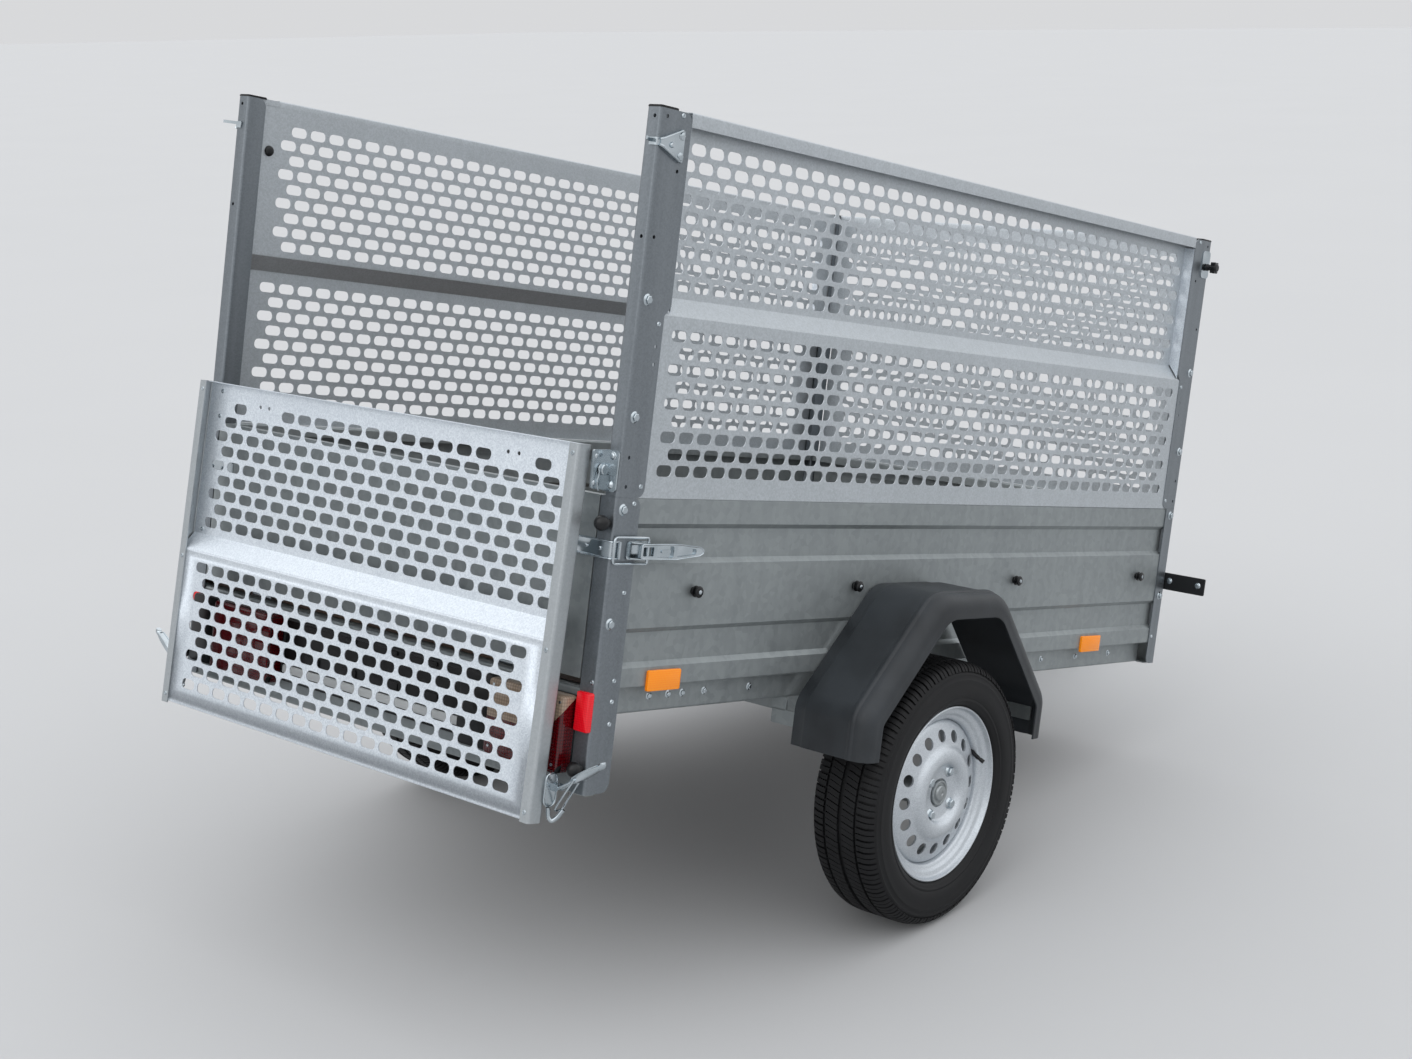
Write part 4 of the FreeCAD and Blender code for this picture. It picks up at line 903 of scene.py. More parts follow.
def tyre_carcass():
    """Sidewalls with their moulded rings, the shoulders and the floor of the tread grooves."""
    side = [(165.3, 45.0), (166.9, 48.3), (175.9, 49.7), (178.6, 53.7), (180.2, 60.6), (183.0, 61.4),
            (184.5, 63.0), (186.0, 66.5), (190.0, 69.5), (193.0, 70.8), (195.5, 73.2), (198.0, 73.4),
            (200.0, 72.9), (204.0, 75.6), (214.0, 77.2), (226.0, 77.4), (234.0, 76.4), (236.0, 76.9),
            (238.5, 76.6), (240.0, 75.2), (247.0, 73.4), (249.0, 74.0), (251.5, 73.2), (254.5, 70.5),
            (262.0, 63.5), (266.5, 54.0), (267.4, 36.0)]
    bm = bmesh.new()
    turned(bm, [(r, -y) for r, y in side] + side[::-1], (0, 0, 0), ROUND, closed=True)
    return bm


def rim_barrel():
    """Rolled rim: flanges, bead seats and drop well, a few millimetres thick."""
    seen = [(182.0, -61.8), (181.6, -63.8), (180.0, -64.9), (178.3, -64.2), (177.0, -61.5),
            (175.6, -55.5), (173.0, -53.0), (167.0, -52.0), (163.4, -49.6), (161.6, -46.8),
            (158.0, -44.8), (153.6, -43.2), (151.4, -39.5), (150.4, -30.0), (147.0, -21.5),
            (143.4, -15.0), (143.0, 5.0), (147.0, 11.0), (158.5, 20.0), (160.5, 48.0), (168.0, 53.0),
            (174.0, 57.0), (178.0, 62.5), (181.0, 64.2), (182.0, 62.0)]
    back = [(178.8, 59.0), (176.5, 54.2), (165.0, 51.5), (163.6, 22.0), (149.5, 13.0), (146.2, 5.0),
            (146.4, -13.5), (149.9, -19.6), (153.4, -29.6), (154.4, -37.6), (156.4, -40.4),
            (161.0, -42.4), (164.0, -44.4), (166.5, -48.6), (175.4, -50.0), (178.0, -54.0),
            (179.4, -60.5), (180.6, -61.0)]
    bm = bmesh.new()
    turned(bm, seen + back, (0, 0, 0), ROUND, closed=True)
    return bm


def wheel_disc():
    """Pressed disc with a raised ring about the hub, a ring of vents and the bolt holes."""
    face = [(150.8, -28.0), (149.6, -33.0), (146.0, -37.5), (140.0, -40.8), (131.0, -44.0),
            (119.0, -48.2), (104.0, -53.0), (99.5, -54.8), (96.5, -58.0), (92.5, -62.4), (87.0, -65.8),
            (80.0, -67.6), (72.0, -67.2), (66.0, -64.8), (62.0, -60.5), (59.0, -56.0), (56.5, -52.8),
            (53.5, -51.0), (31.5, -50.8), (30.0, -50.2)]
    back = [(r + (0.0 if r > 149 or r < 31 else -0.4), y + 4.0) for r, y in face[::-1]]
    bm = bmesh.new()
    turned(bm, face + back, (0, 0, 0), 112, closed=True)
    for count, circle, radius, start in ((16, 119.0, 12.6, 0.1), (4, BOLT_CIRCLE, 7.0, BOLT_TURN)):
        bm = run_tree(DRILLED, as_mesh(mended(bm)), {
            "Count": count, "Circle": circle, "Hole Radius": radius, "Start": start, "Finish": WHEEL_SILVER})
    return bm


def wheel_bolts():
    """Four collared wheel bolts, their heads towards the outside."""
    bolt = (12.5, 3.5, 9.4, 8.0, 7.6, 1.6, 6)
    places = []
    for k in range(4):
        a = BOLT_TURN + math.radians(90 * k)
        places.append(((BOLT_CIRCLE * math.cos(a), -51.0, BOLT_CIRCLE * math.sin(a)), RIGHTWARDS))
    return placed_heads(bolt, BRIGHT, places)


def hub_body():
    """Turned hub on the stub axle: bearing barrel, flange and stepped dust cap."""
    bore = 17.05
    outline = [(bore, 40.0), (bore, -34.0), (0.0, -34.0), (0.0, -57.0), (3.0, -57.2), (4.5, -58.4),
               (10.0, -58.6), (14.5, -57.6), (16.5, -55.4), (17.2, -52.5), (20.4, -52.2), (21.4, -53.8),
               (23.6, -54.4), (25.6, -53.6), (26.4, -51.0), (26.8, -47.4), (30.0, -46.9), (56.0, -46.8),
               (61.0, -46.0), (62.0, -44.5), (62.0, -14.0), (35.0, -14.0), (35.0, 40.0)]
    bm = bmesh.new()
    turned(bm, outline, (0, 0, 0), 64, closed=True)
    return bm


def valve_stem():
    """Snap-in rubber valve through the rim's barrel, its cap leaning outwards."""
    bm = bmesh.new()
    wire(bm, bent([(133, -33, 74), (130, -43, 68), (131, -54, 61.5)], 6), 4.6, 12)
    wire(bm, [(131, -53, 62), (132.5, -60, 58.5)], 3.6, 12)
    wire(bm, [(132, -58, 59.5), (134, -66, 55.5)], 4.4, 12)
    return bm


def wheel_pieces(side):
    body, sign = "wheel_" + side, 1 if side == "right" else -1
    centre = Vector((WHEEL.x, WHEEL.y * sign, WHEEL.z))

    def placed(name, parts, materials, slot, replaces=(), smooth=32.0):
        bm = bmesh.new()
        for part in parts:
            bmesh.ops.recalc_face_normals(part, faces=part.faces)
            join(bm, part if sign > 0 else mirror_image(part))
        seal(name, moved(bm, *centre), materials, body, slot, replaces, smooth)

    placed("tyre_%s_treaded" % side, [tyre_carcass(), tread(RUBBER)], [RUBBER], "tyre", ["tyre_" + side])
    placed("rim_%s_pressed" % side, [rim_barrel(), wheel_disc()], [WHEEL_SILVER],
           "rim_paint", ["rim_" + side], 40.0)
    placed("hub_%s_turned" % side, [hub_body()], [HUB_STEEL], "galvanized", ["hub_" + side])
    placed("wheel_bolts_%s" % side, [wheel_bolts()], [BRIGHT], "bright_zinc")
    placed("valve_%s" % side, [valve_stem()], [NYLON], "black_plastic")


for side in ("right", "left"):
    wheel_pieces(side)


# ==== mudguards =============================================================================
# outer skin of the mudguard in side view
ARCH = {"half": 338.0, "top_half": 118.0, "crown": 156.0, "knee": 385.0, "foot": 478.0}
CROWN_BEND, KNEE_BEND = 92.0, 60.0


def arch_path(inset):
    """Side view of the skin moved inwards by inset, foot to foot, with its corners rounded."""
    slope = math.atan2(ARCH["knee"] - ARCH["crown"], ARCH["half"] - ARCH["top_half"])
    x = ARCH["half"] - inset
    knee = -ARCH["knee"] - inset * math.tan(math.pi / 4 - slope / 2)
    crown_x = ARCH["top_half"] - inset * math.tan(slope / 2)
    right = [(crown_x, -ARCH["crown"] - inset), (x, knee), (x, -ARCH["foot"])]
    left = [(-u, v) for u, v in right[::-1]]
    corners = left + right
    bends = [0, KNEE_BEND - 0.75 * inset, CROWN_BEND - 0.55 * inset]
    ring = rounded([Vector(p) for p in corners], bends + bends[::-1], 8)
    return [(AXLE.x + p.x, p.y) for p in ring]


def mudguard(side):
    """Moulded shell: flat crown with a raised bead, rolled shoulder, outer face and turned lip."""
    wall, outer = HALF + FIT, -level_box("mudguard_right")[0].y
    shoulder = [math.radians(a) for a in range(0, 91, 15)]
    outside = [(wall, 8.0), (wall + 22, 7.5), (wall + 27, 4.6), (wall + 31, 3.6), (outer - 50, 3.6),
               (outer - 46.5, 2.6), (outer - 43, 0.5), (outer - 40, 0.0), (outer - 36.5, 0.5),
               (outer - 34, 2.0)]
    outside += [(outer - 33 + 32 * math.sin(a), 35.0 - 32 * math.cos(a)) for a in shoulder]
    outside += [(outer - 1.0, 44.0), (outer, 47.0), (outer, 51.0), (outer - 3.0, 51.6), (outer - 4.5, 48.0)]
    inner = [(outer - 33 + 28 * math.sin(a), 35.0 - 28 * math.cos(a)) for a in shoulder[::-1]]
    inner += [(outer - 40, 5.0), (outer - 50, 7.8), (wall + 31, 7.8), (wall + 27, 9.0), (wall, 12.0)]
    bm = bmesh.new()
    rings = [[bm.verts.new((x, -across, z)) for x, z in arch_path(inset)]
             for across, inset in outside + inner]
    skin(bm, rings + rings[:1], around=False, ends=False)
    bm.faces.new([ring[0] for ring in rings])
    bm.faces.new([ring[-1] for ring in rings][::-1])
    if side == "left":
        bm = mirror_image(bm)
    seal("mudguard_%s_moulded" % side, bm, [POLYETHYLENE], "trailer",
         "black_plastic", ["mudguard_" + side], 30.0)


mudguard("right")
mudguard("left")


def mudguard_bars():
    """Flat bars from the side rails that carry the mudguards' feet, just inside their skin."""
    bm = bmesh.new()
    rail = level_box("side_rail_right")[0].y
    for sign in (-1, 1):
        x = AXLE.x + sign * (ARCH["half"] - 17.0)
        slab(bm, (x - 2, -HALF - 150, -446), (x + 2, rail + 34, -416), "yz", 3)
        slab(bm, (x - 2, rail, -418), (x + 2, rail + 34, -391.5), "yz", 3)
    return bm


pair_of("mudguard_bars", mudguard_bars, [FRAME_ZINC], "trailer", "galvanized", ["mudguard_brackets"])


# ==== latches and catches ===================================================================
GATE_SIDE = level_box("gate_channel_right")[0].y     # outer face of the gate's right-hand channel
SIDE_LATCH_Z, CATCH_Z = -91.0, 606.0


def tailgate_latch():
    """Toggle latch on the side: stamped base with two cheeks, folded lever, wire bail and strap.

    It is laid out with y from the trailer's side and z from its own middle, and moved at the end.
    """
    metal = bmesh.new()
    # strap round the corner, its edges rolled
    reach = 95
    push(metal, folded([(-0.6, reach), (-0.6, -0.4), (16, -0.4)], 2.4, BEND)[::-1], "xy", -15, 15)
    for edge in (-14.5, 14.5):
        wire(metal, bent([(16, -2.6, edge), (-2.8, -2.6, edge), (-2.8, reach, edge)], 4), 1.7)
    wire(metal, [(15, -4.0, -15), (15, -4.0, 15)], 3.2, 10)
    for y in (26, 58):
        turned(metal, [(0.0, -3.9), (2.6, -3.7), (3.6, -2.8), (3.6, -1.0)], (0, y, 0), 14, "x")
    # base plate and cheeks
    slab(metal, (36, -3.0, -16), (96, -FIT, 16), "xz", 5)
    cheek = rounded([(42, -0.5), (92, -0.5), (90, -8), (78, -16), (58, -17), (48, -9)], 3)
    for z in (-14, 14):
        push(metal, cheek, "xy", z - 1.2, z + 1.2)
    wire(metal, [(80, -13, -17), (80, -13, 17)], 3.0, 12)
    # lever, pressed hollow
    outline = rounded([(56, -12.5), (150, -14.5), (214, -8.5), (224, -4), (224, 3), (214, 7), (150, 12.5),
                       (56, 12.5)], 3.5)
    lever, pockets = bmesh.new(), bmesh.new()
    push(lever, outline, "xz", -20.5, -13.5)
    for pocket, corner, floor in (([(96, -10), (142, -11.5), (142, 9.5), (96, 9.5)], 4, -16),
                                  ([(150, -11), (204, -5.5), (204, 3.5), (150, 9)], 3.5, -16),
                                  (oblong(60, -8, 88, 8), 2.5, -12)):
        push(pockets, rounded(pocket, corner), "xz", -22, floor)
    join(metal, cut(lever, pockets))
    wire(metal, [(q.x, -20.3, q.y) for q in outline], 1.3, closed=True)
    push(metal, rounded(oblong(112, -3.5, 136, 2.5), 2.9), "xz", -18.2, -16)
    # wire bail from the lever's axle over the strap's roll
    bail = [(80, -13, -15.5), (80, -13, -23), (66, -9, -23), (-1, -6.8, -23)]
    bail += [(x, y, -z) for x, y, z in bail[::-1]]
    wire(metal, bent(bail, 6), 2.3, 10)
    return moved(metal, 0, -HALF, SIDE_LATCH_Z)


def catch_plate():
    """Pressed triangular plate with upturned edges and a hook round the post's rear face.

    It is laid out with y from its seat on the post and z from its own middle, and moved at the end.
    """
    bm = bmesh.new()
    push(bm, rounded([(66, 26), (66, -27), (56, -28), (6, -7), (6, 7), (56, 28)], 3), "xz", -2.2, 0)
    for sign in (-1, 1):
        ridge = [(60, -2, sign * 27), (56, -4.5, sign * 26), (8, -5.5, sign * 6.5), (2, -3, sign * 5)]
        wire(bm, bent(ridge, 5), 2.2)
    push(bm, folded([(-2.6, 18), (-2.6, -0.1), (14, -0.1)], 2.4, BEND)[::-1], "xy", -6, 7)
    hook = [(-0.8, 18), (-2.4, 19.4), (-31.5, -1.4), (-30.2, -3.4)]
    push(bm, rounded(hook, [0.4, 0.4, 0.8, 0.8]), "xy", -0.5, 5.5)
    turned(bm, [(0.0, -6.5), (3.5, -6.0), (5.0, -4.2), (5.4, -2.0)], (34, 0, -1), 16)
    return moved(bm, 0, -HALF - FIT, CATCH_Z)


def gate_latch():
    """Spring toggle on the free corner of the gate: oval plate, lever, thin bail and hook rod.

    It is laid out with y from the gate's side and x and z from the lever's ears, and moved at the end.
    """
    x, z = on_gate(-2.0, 560.0)
    plate_x, plate_z = on_gate(11.5, 562.0)
    plate_x, plate_z = plate_x - x, plate_z - z
    bm = bmesh.new()
    oval = rounded(oblong(plate_x - 14.5, plate_z - 29, plate_x + 14.5, plate_z + 29), 12, 6)
    push(bm, oval, "xz", -3.4, -0.1)
    wire(bm, [(p.x, -3.4, p.y) for p in oval], 1.8, closed=True)
    # ears that carry the lever
    ear = rounded([(-1, -5), (-13, -3), (-18, 3), (-14, 8), (-1, 9)], 2.5)
    for across in (-7.5, 7.5):
        push(bm, ear, "yz", across - 0.8, across + 0.8)
    wire(bm, [(-9.5, -13.5, 2.5), (9.5, -13.5, 2.5)], 2.2, 10)
    # lever: forked neck, hollow-pressed grip and rolled tip
    root, tip = Vector((0, -12, 1)), Vector((0, -105, 62))
    along = (tip - root).normalized()
    over = Vector((0, -along.z, along.y))
    for across in (-5.5, 5.5):
        aside = Vector((across, 0, 0))
        wire(bm, [root + aside, root.lerp(tip, 0.36) + aside], 2.4)
    stations = ((0.26, 5.0, 3.0), (0.36, 7.6, 5.4), (0.56, 8.0, 6.4), (0.80, 7.2, 5.6), (0.94, 5.6, 4.2))
    rings = []
    for t, wide, deep in stations:
        ring = rounded(oblong(-wide, -deep, wide, deep), 2.2, 3)
        rings.append([bm.verts.new(root.lerp(tip, t) + Vector((q.x, 0, 0)) + over * q.y) for q in ring])
    skin(bm, rings)
    for across in (-6.336, 6.336):
        aside = Vector((across, 0, 0))
        wire(bm, [root.lerp(tip, t) + aside - over * (deep - 0.4) for t, wide, deep in stations[1:]], 1.6)
    wire(bm, bent([tip - along * 8, tip + along * 1.5, tip + along * 2.5 - over * 5.0], 3), 6.0, 12)
    # thin bail that hangs from the lever
    hang, foot = root.lerp(tip, 0.42), Vector((0, -14, -37))
    bail = [hang + Vector((-9, 0, 0)), foot + Vector((-10, -6, 12)), foot + Vector((-10, 0, 0))]
    bail += [Vector((-p.x, p.y, p.z)) for p in bail[::-1]]
    wire(bm, bent(bail, 6), 1.8)
    # hook rod out of the plate's foot
    rod = [(-15, -3, -33), (-14, -5, -49), (-10, -10, -57), (-3, -17, -48), (2, -24, -34)]
    wire(bm, bent(rod, 8, 6), 4.0, 12)
    return moved(bm, x, GATE_SIDE, z)


def hinge_bracket():
    """Folded bracket on the post's rear face with the hinge pin, its big head and a spring clip."""
    inner = GATE_SIDE - 10
    z0, z1 = 8.0, 80.0
    bm = bmesh.new()
    slab(bm, (-4, -HALF + 4, z0), (-FIT, inner + 4, z1), "yz", 6)
    cheek = [(-FIT, z0 + 1), (-FIT, z1 - 1), (-37, z1 - 2), (-34, z0 + 3)]
    push(bm, rounded(cheek, [0.5, 0.5, 5, 5]), "xz", inner, inner + 3.5)
    for z in (z0 + 13, z1 - 13):
        turned(bm, [(0.0, -1.6), (3.4, -1.4), (4.6, -0.6), (5.0, 0.2)], (-27, inner, z), 16)
    pin = [(0.0, -10.5), (8.0, -10.2), (9.8, -8.8), (10.0, -3.0), (8.6, -2.4), (7.0, -2.0), (7.0, 14.6),
           (6.0, 16.0), (0.0, 16.0)]
    turned(bm, pin, (PIN.x, inner, PIN.z), 24)
    # spring clip: two turns behind the head and a tail that runs down past it
    clip = bmesh.new()
    turns = [math.radians(d) for d in range(-60, 560, 20)]
    coil = [(9.2 * math.cos(a), -1.4 - 0.25 * a, 9.2 * math.sin(a)) for a in turns]
    tail = [(-10, -4.5, -10), (-13, -4.5, -20), (-11, -4.5, -32), (-6, -3.0, -37)]
    wire(clip, coil + bent(tail, 5), 1.2, 6)
    join(bm, moved(clip, PIN.x, inner, PIN.z))
    return bm


def eye_lug():
    """Strap that carries the gate's channel to the pin, its eye rolled round the bore."""
    half = [(44, -28), (24, -28), (6, -19), (-16, -3)]
    ring = [on_gate(out, down) for out, down in half + [(out, -down) for out, down in half[::-1]]]
    bm, bore = bmesh.new(), bmesh.new()
    push(bm, rounded(ring, [3, 8, 10, 12, 12, 10, 8, 3], 6), "xz", GATE_SIDE - 4, GATE_SIDE)
    turned(bore, [(0.0, -6), (7.06, -6), (7.06, 2), (0.0, 2)], (PIN.x, GATE_SIDE, PIN.z), 32)
    return cut(bm, bore)


for name, make, body, replaced in (
        ("tailgate_toggles", tailgate_latch, "trailer", ["tailgate_latches", "tailgate_straps"]),
        ("gate_catch_plates", catch_plate, "trailer", ["gate_catches"]),
        ("gate_toggles", gate_latch, "gate", ["gate_latches"]),
        ("gate_hinges_pinned", hinge_bracket, "trailer", ["gate_hinge_brackets"]),
        ("gate_eye_lugs", eye_lug, "gate", ["gate_lugs"])):
    pair_of(name, make, [BRIGHT], body, "bright_zinc", replaced)


# ==== knobs, buttons and caps ===============================================================
BUTTON_X, BUTTON_Z = (235.0, 737.0, 1352.0, 1927.0), -167.0
EXTENSION_TOP = 668.0


def ball_knobs():
    """Moulded ball knobs on the rear faces of the corner posts."""
    bm = bmesh.new()
    turns = [math.radians(d) for d in range(0, 151, 10)]
    ball = [(14.0 * math.sin(a), -16.0 - 14.0 * math.cos(a)) for a in turns]
    profile = ball + [(7.4, -3.2), (8.4, -2.4), (8.4, -FIT), (0.0, -FIT)]
    for drop in (46, 478):
        turned(bm, profile, (0, -HALF + 15, -drop), 28, "x")
    return bm


def cord_buttons():
    """Two-lipped buttons for a cover's elastic cord, each held by a bright screw."""
    face = level_box("tarp_buttons")[0].y + 18
    bm = bmesh.new()
    profile = [(0.0, -17.6), (4.2, -17.6), (5.0, -17.2), (9.2, -16.8), (10.6, -15.6), (10.9, -14.2),
               (10.2, -12.8), (7.0, -11.8), (6.4, -10.0), (6.8, -8.2), (10.6, -7.2), (11.0, -6.0),
               (10.4, -4.6), (8.0, -3.8), (7.6, 0.0), (0.0, 0.0)]
    for x in BUTTON_X:
        turned(bm, profile, (x, face, BUTTON_Z), 24)
    return bm


def post_end_caps():
    """Flat plugs with a softened edge over the ends of the extension posts."""
    bm = bmesh.new()
    width = 32
    for x0, x1 in ((0.0, 47.5), (LENGTH - 47.5, LENGTH)):
        for inset, z0, z1, corner in ((0, EXTENSION_TOP - 4, EXTENSION_TOP - 1.2, 3.5),
                                      (1, EXTENSION_TOP - 1.2, EXTENSION_TOP, 3)):
            ring = oblong(x0 + inset, -HALF + inset, x1 - inset, -HALF + width - inset)
            push(bm, rounded(ring, corner), "xy", z0, z1)
    return bm


def sheet_plugs():
    """Round push-in plug on the inside of the side sheet, at the edge of the rear extension post."""
    bm = bmesh.new()
    inside = level_box("mesh_side_right")[0].y + RECESS + SHEET
    turned(bm, [(0.0, 6.4), (6.5, 6.2), (9.4, 4.8), (10.8, 2.2), (11.0, 0.1), (0.0, 0.1)],
           (66, inside, 563), 24)
    return bm


for name, make, replaced, smooth in (
        ("sheet_plugs", sheet_plugs, [], 45.0), ("ball_knobs", ball_knobs, ["post_knobs"], 50.0),
        ("cord_buttons", cord_buttons, ["tarp_buttons"], 40.0),
        ("post_end_caps", post_end_caps, ["post_caps"], 32.0)):
    pair_of(name, make, [NYLON], "trailer", "black_plastic", replaced, smooth)
button_face = level_box("tarp_buttons")[0].y + 0.4
button_screws = both_sides([((x, button_face, BUTTON_Z), RIGHTWARDS) for x in BUTTON_X])
seal("cord_button_screws", placed_heads(PAN_SCREW, BRIGHT, button_screws), [BRIGHT],
     "trailer", "bright_zinc")


CLAMP_X, STUD_X, STUD_Z = 2060.0, 2062.0, 601.0


def clamp_plate():
    """Pressed clamp plate with a round foot on the front extension post, and its stud."""
    bm = bmesh.new()
    slab(bm, (CLAMP_X - 20, -HALF - 2.2, 574), (CLAMP_X + 19, -HALF - 0.1, 640), "xz", 9, 5)
    wire(bm, [(STUD_X, -HALF, STUD_Z), (STUD_X, -HALF - 14, STUD_Z)], 4.0, 12)
    return bm


def star_knob():
    """Six-lobed hand knob with a crown and a waisted neck on the clamp's stud."""
    bm = bmesh.new()
    steps, lobes = 48, []
    for k in range(steps):
        a = 2 * math.pi * k / steps
        radius = 12.5 + 2.6 * math.cos(6 * a)
        lobes.append((radius * math.cos(a), radius * math.sin(a)))
    push(bm, lobes, "xz", -30, -18)
    turned(bm, [(0.0, -34.0), (8.0, -33.4), (11.0, -30.0), (11.0, -29.0)], (0, 0, 0), 24)
    turned(bm, [(8.0, -19.0), (7.0, -12.0), (8.6, -8.0), (8.6, -4.0), (4.2, -4.0)],
           (0, 0, 0), 24, closed=True)
    return moved(bm, STUD_X, -HALF, STUD_Z)


pair_of("clamp_plates", clamp_plate, [BRIGHT], "trailer", "bright_zinc")
pair_of("clamp_star_knobs", star_knob, [NYLON], "trailer", "black_plastic", smooth=40.0)


# ==== lamps and reflectors ==================================================================
def cushion(bm, low, high, plane, radius, edge, material=0):
    """Rounded plate between two corners, the edges of its face on the low side bevelled."""
    axis, u, v = sides_of(plane)
    foot, face = high[axis], low[axis]
    rings = []
    for inset, depth in ((0.0, foot), (0.0, face + edge), (0.3 * edge, face + 0.3 * edge), (edge, face)):
        corners = oblong(low[u] + inset, low[v] + inset, high[u] - inset, high[v] - inset)
        ring = rounded(corners, max(radius - inset, 0.6))
        rings.append([bm.verts.new(lay(plane, p[0], p[1], depth)) for p in ring])
    for end in (rings[0], rings[-1][::-1]):
        bm.faces.new(end).material_index = material
    skin(bm, rings, ends=False, material=material)


LENS_WIDTH, BLANK_WIDTH = 186.0, 85.0


def tail_lamp(start, reversing):
    """Lamp unit from its right-hand end: deep red lens, then a black blank. One unit has a clear field."""
    low, high = level_box("tail_lamps")
    face, z0, z1 = low.x + 1.5, low.z - 11, high.z
    end = start + LENS_WIDTH
    bm = bmesh.new()
    cushion(bm, (-4, start, z0), (-FIT, end + BLANK_WIDTH, z1), "yz", 9, 1.5)
    cushion(bm, (-24, end + 0.4, z0), (-3.0, end + BLANK_WIDTH, z1), "yz", 9, 3)
    lens_low, lens_high = (face, start + 0.8, z0 + 0.8), (-3.6, end - 0.8, z1 - 0.8)
    body = bmesh.new()
    cushion(body, lens_low, lens_high, "yz", 8, 5, 1)
    # the lower corner of its face is cut back on a slant, clear of the gate's latch plate
    corner = bmesh.new()
    push(corner, [(start - 2, z0 - 2), (start + 9, z0 - 2), (start - 2, z0 + 22)], "yz", face - 5, -24)
    body = cut(body, corner)
    if reversing:
        field = [(start - 5, z1 - 24), (start + 22, z1 - 51), (start + 41, z1 - 70), (end + 5, z1 - 70),
                 (end + 5, z1 + 40), (start - 5, z1 + 40)]
        tool, clear = bmesh.new(), bmesh.new()
        push(tool, field, "yz", face - 5, 5, 2)
        # the border climbs towards the foot of the side face
        for vertex in tool.verts:
            vertex.co.z += 0.8 * (vertex.co.x - face)
        cushion(clear, lens_low, lens_high, "yz", 8, 5, 2)
        join(bm, cut(clear, tool.copy(), "INTERSECT"))
        body = cut(body, tool)
    join(bm, body)
    for y, z in ((start + 9, z1 - 12), (start + 14, z0 + 16), (end - 14, z0 + 16), (end - 14, z1 - 12)):
        turned(bm, [(0.0, -0.8), (2.8, -0.6), (3.2, 0.8), (3.2, 4.0)], (face, y, z), 12, "x", material=3)
    return bm


def tail_lamps():
    """The same moulding on both sides, not mirrored; only the right-hand one has the clear field."""
    outer = -level_box("tail_lamps")[0].y
    pair = tail_lamp(-outer, True)
    join(pair, tail_lamp(outer - LENS_WIDTH - BLANK_WIDTH, False))
    seal("tail_lamps_lensed", pair, [NYLON, RED_LENS, CLEAR_LENS, BRIGHT], "trailer",
         "red_lens", ["tail_lamps"])


def side_reflector_pads():
    """Amber side reflectors with a softened rim."""
    low, high = level_box("side_reflectors")
    bm = bmesh.new()
    for x in (132.0, 1690.0):
        cushion(bm, (x, low.y, low.z), (x + 90, low.y + 5.7, high.z), "xz", 4, 1.6)
    return bm


def rear_reflector_pads():
    """Plain red rear reflectors on the corner posts."""
    low, high = level_box("rear_reflectors")
    bm = bmesh.new()
    cushion(bm, (low.x - 3.5, low.y, low.z), (-FIT, low.y + 34, high.z), "yz", 4, 2.2)
    return bm


tail_lamps()
pair_of("side_reflector_pads", side_reflector_pads, [AMBER_REFLECTOR], "trailer", "amber_reflector",
        ["side_reflectors"])
pair_of("rear_reflector_pads", rear_reflector_pads, [RED_REFLECTOR], "trailer",
        "red_reflector", ["rear_reflectors"])


def plate_holder():
    """Empty black number plate holder: raised border, clips and a bare pale strip along its foot."""
    low, high = level_box("number_plate")
    left, right = low.y, high.y
    bm = bmesh.new()
    cushion(bm, (-5, left, low.z), (-FIT, right, high.z), "yz", 8, 2)
    for z in (low.z + 16, high.z - 3):
        wire(bm, [(-5.5, left + 6, z), (-5.5, right - 6, z)], 3.0)
    for y in (left + 4, right - 4):
        wire(bm, [(-5.5, y, low.z + 10), (-5.5, y, high.z - 6)], 3.0)
    for y in (-170, -60, 60, 170):
        cushion(bm, (-8.5, y - 14, high.z - 14), (-4.5, y + 14, high.z - 6), "yz", 3, 1.2)
        cushion(bm, (-7.5, y - 22, low.z + 40), (-4.8, y + 22, low.z + 62), "yz", 4, 1.0)
    cushion(bm, (-9.5, left + 8, low.z + 18), (-4.5, right - 8, low.z + 34), "yz", 3, 1.2, 1)
    seal("plate_holder", bm, [NYLON, PALE_STRIP], "trailer", "black_plastic", ["number_plate"])


def marker_plates():
    """Bare folded plates at the front corners for position lamps, with softened corners."""
    low, high = level_box("marker_brackets")
    bm = bmesh.new()
    slab(bm, (low.x, low.y, low.z), (high.x, low.y + 135, high.z), "yz", 3)
    slab(bm, (low.x - 0.2, -HALF - 24, -186), (low.x, -HALF - 12, -174), "yz", 1)
    return bm


plate_holder()
pair_of("marker_plates", marker_plates, [BLACK_PAINT], "trailer", "black_plastic", ["marker_brackets"])


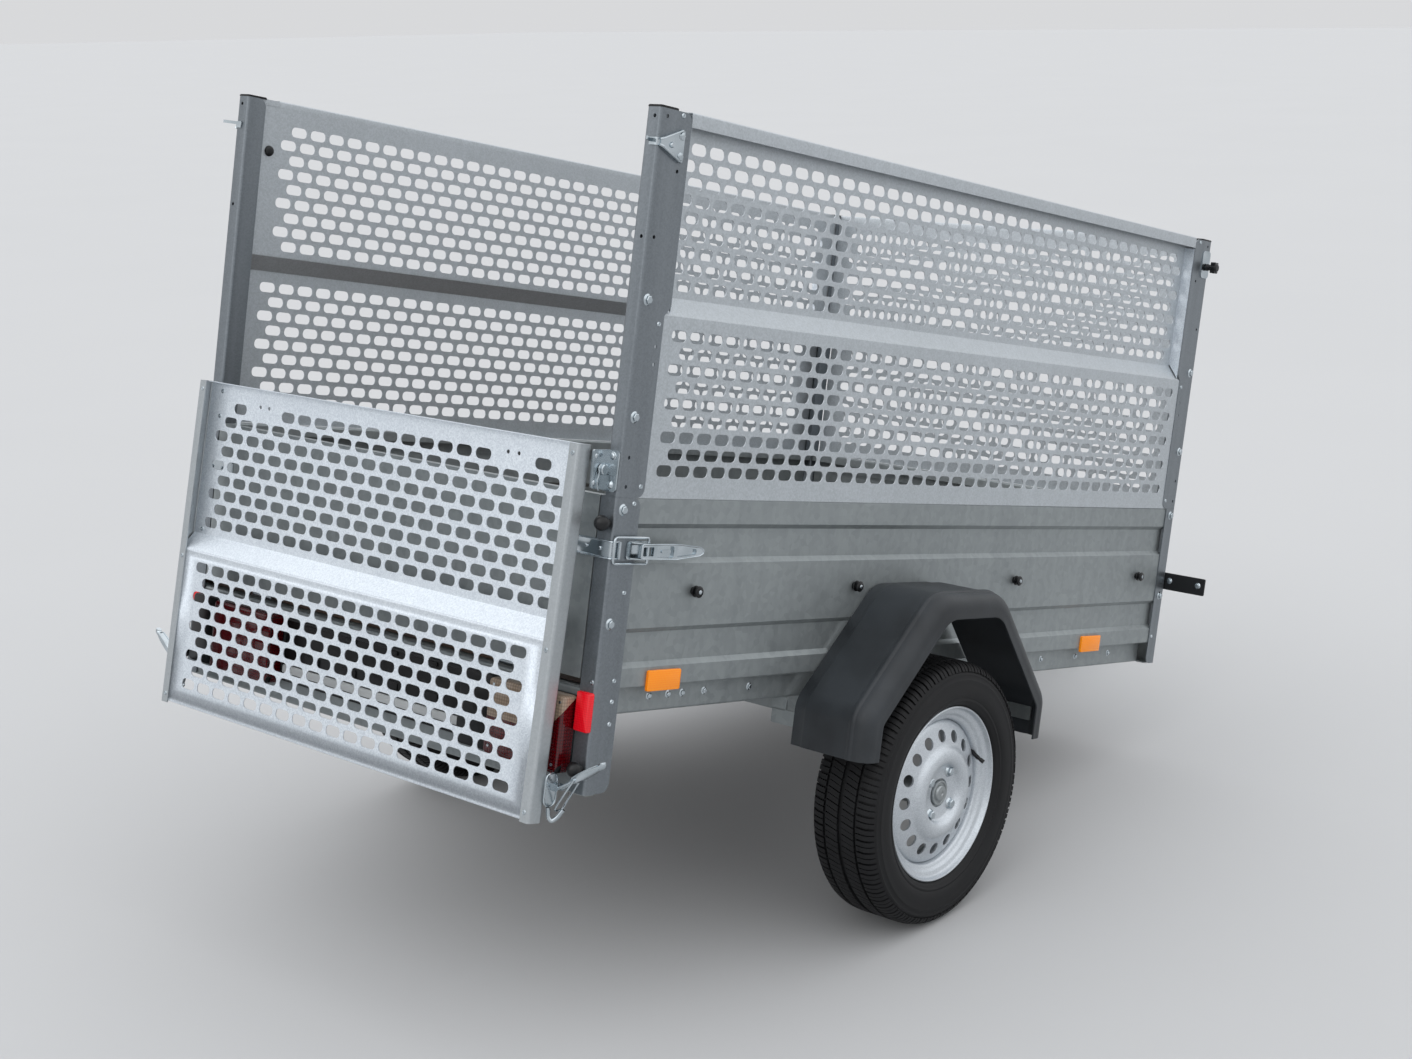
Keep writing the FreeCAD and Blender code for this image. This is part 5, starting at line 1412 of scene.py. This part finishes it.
# ==== stage =================================================================================
VIEWPOINT = (-3.27464, -2.89429, 1.54881)     # camera from the middle of the axle, metres
VIEW_TURN = (75.7816, 0.7419, -49.7594)       # its turn about x, y and z, degrees
VIEW_LENS, VIEW_SENSOR = 52.1, 36.0           # focal length and sensor width, millimetres


def pale_floor():
    """Matt painted studio floor, faintly clouded."""
    floor = bmesh.new()
    bmesh.ops.create_grid(floor, x_segments=1, y_segments=1, size=150.0)
    ground = put("floor", as_mesh(floor, "floor"))
    material, tree, level = start_finish("pale studio floor")
    cloud = add(tree, "ShaderNodeTexNoise", {"Scale": 0.6, "Detail": 3.0}, {"Vector": level})
    end_finish(tree, {"Roughness": 0.9}, {"Base Color": tint(tree, cloud, "#b4b5b6", "#b7b8b9")})
    ground.data.materials.append(material)


def overcast_sky():
    """Dome that is pale at the horizon and about twice as bright from 35 degrees upwards."""
    world = bpy.data.worlds.new("studio")
    bpy.context.scene.world = world
    world.use_nodes = True
    sky = world.node_tree
    sky.nodes.clear()
    upwards = add(sky, "ShaderNodeSeparateXYZ",
                  links={0: add(sky, "ShaderNodeTexCoord").outputs["Generated"]})
    strength = add(sky, "ShaderNodeMapRange", {"interpolation_type": "SMOOTHSTEP",
                                               1: 0.0, 2: 0.6, 3: 0.74, 4: 1.50},
                   {0: upwards.outputs["Z"]})
    dome = add(sky, "ShaderNodeBackground", {"Color": linear("#f7f8fa")}, {"Strength": strength})
    add(sky, "ShaderNodeOutputWorld", links={"Surface": dome})


def soft_key_light():
    """A wide soft sky light from behind the tail, to the left and above."""
    light = bpy.data.lights.new("key", "SUN")
    light.energy = 0.45
    light.angle = math.radians(60)
    put("key", light).rotation_euler = Vector((0.9, -0.15, -0.8)).to_track_quat("-Z", "Y").to_euler()


def viewpoint():
    view = bpy.data.cameras.new("camera")
    view.lens, view.sensor_width = VIEW_LENS, VIEW_SENSOR
    view.clip_end = 1000.0
    camera = put("camera", view)
    camera.location = axle_centre() + Vector(VIEWPOINT)
    camera.rotation_euler = Euler([math.radians(a) for a in VIEW_TURN])
    bpy.context.scene.camera = camera
    bpy.context.scene.view_settings.view_transform = "Standard"


pale_floor()
overcast_sky()
soft_key_light()
viewpoint()
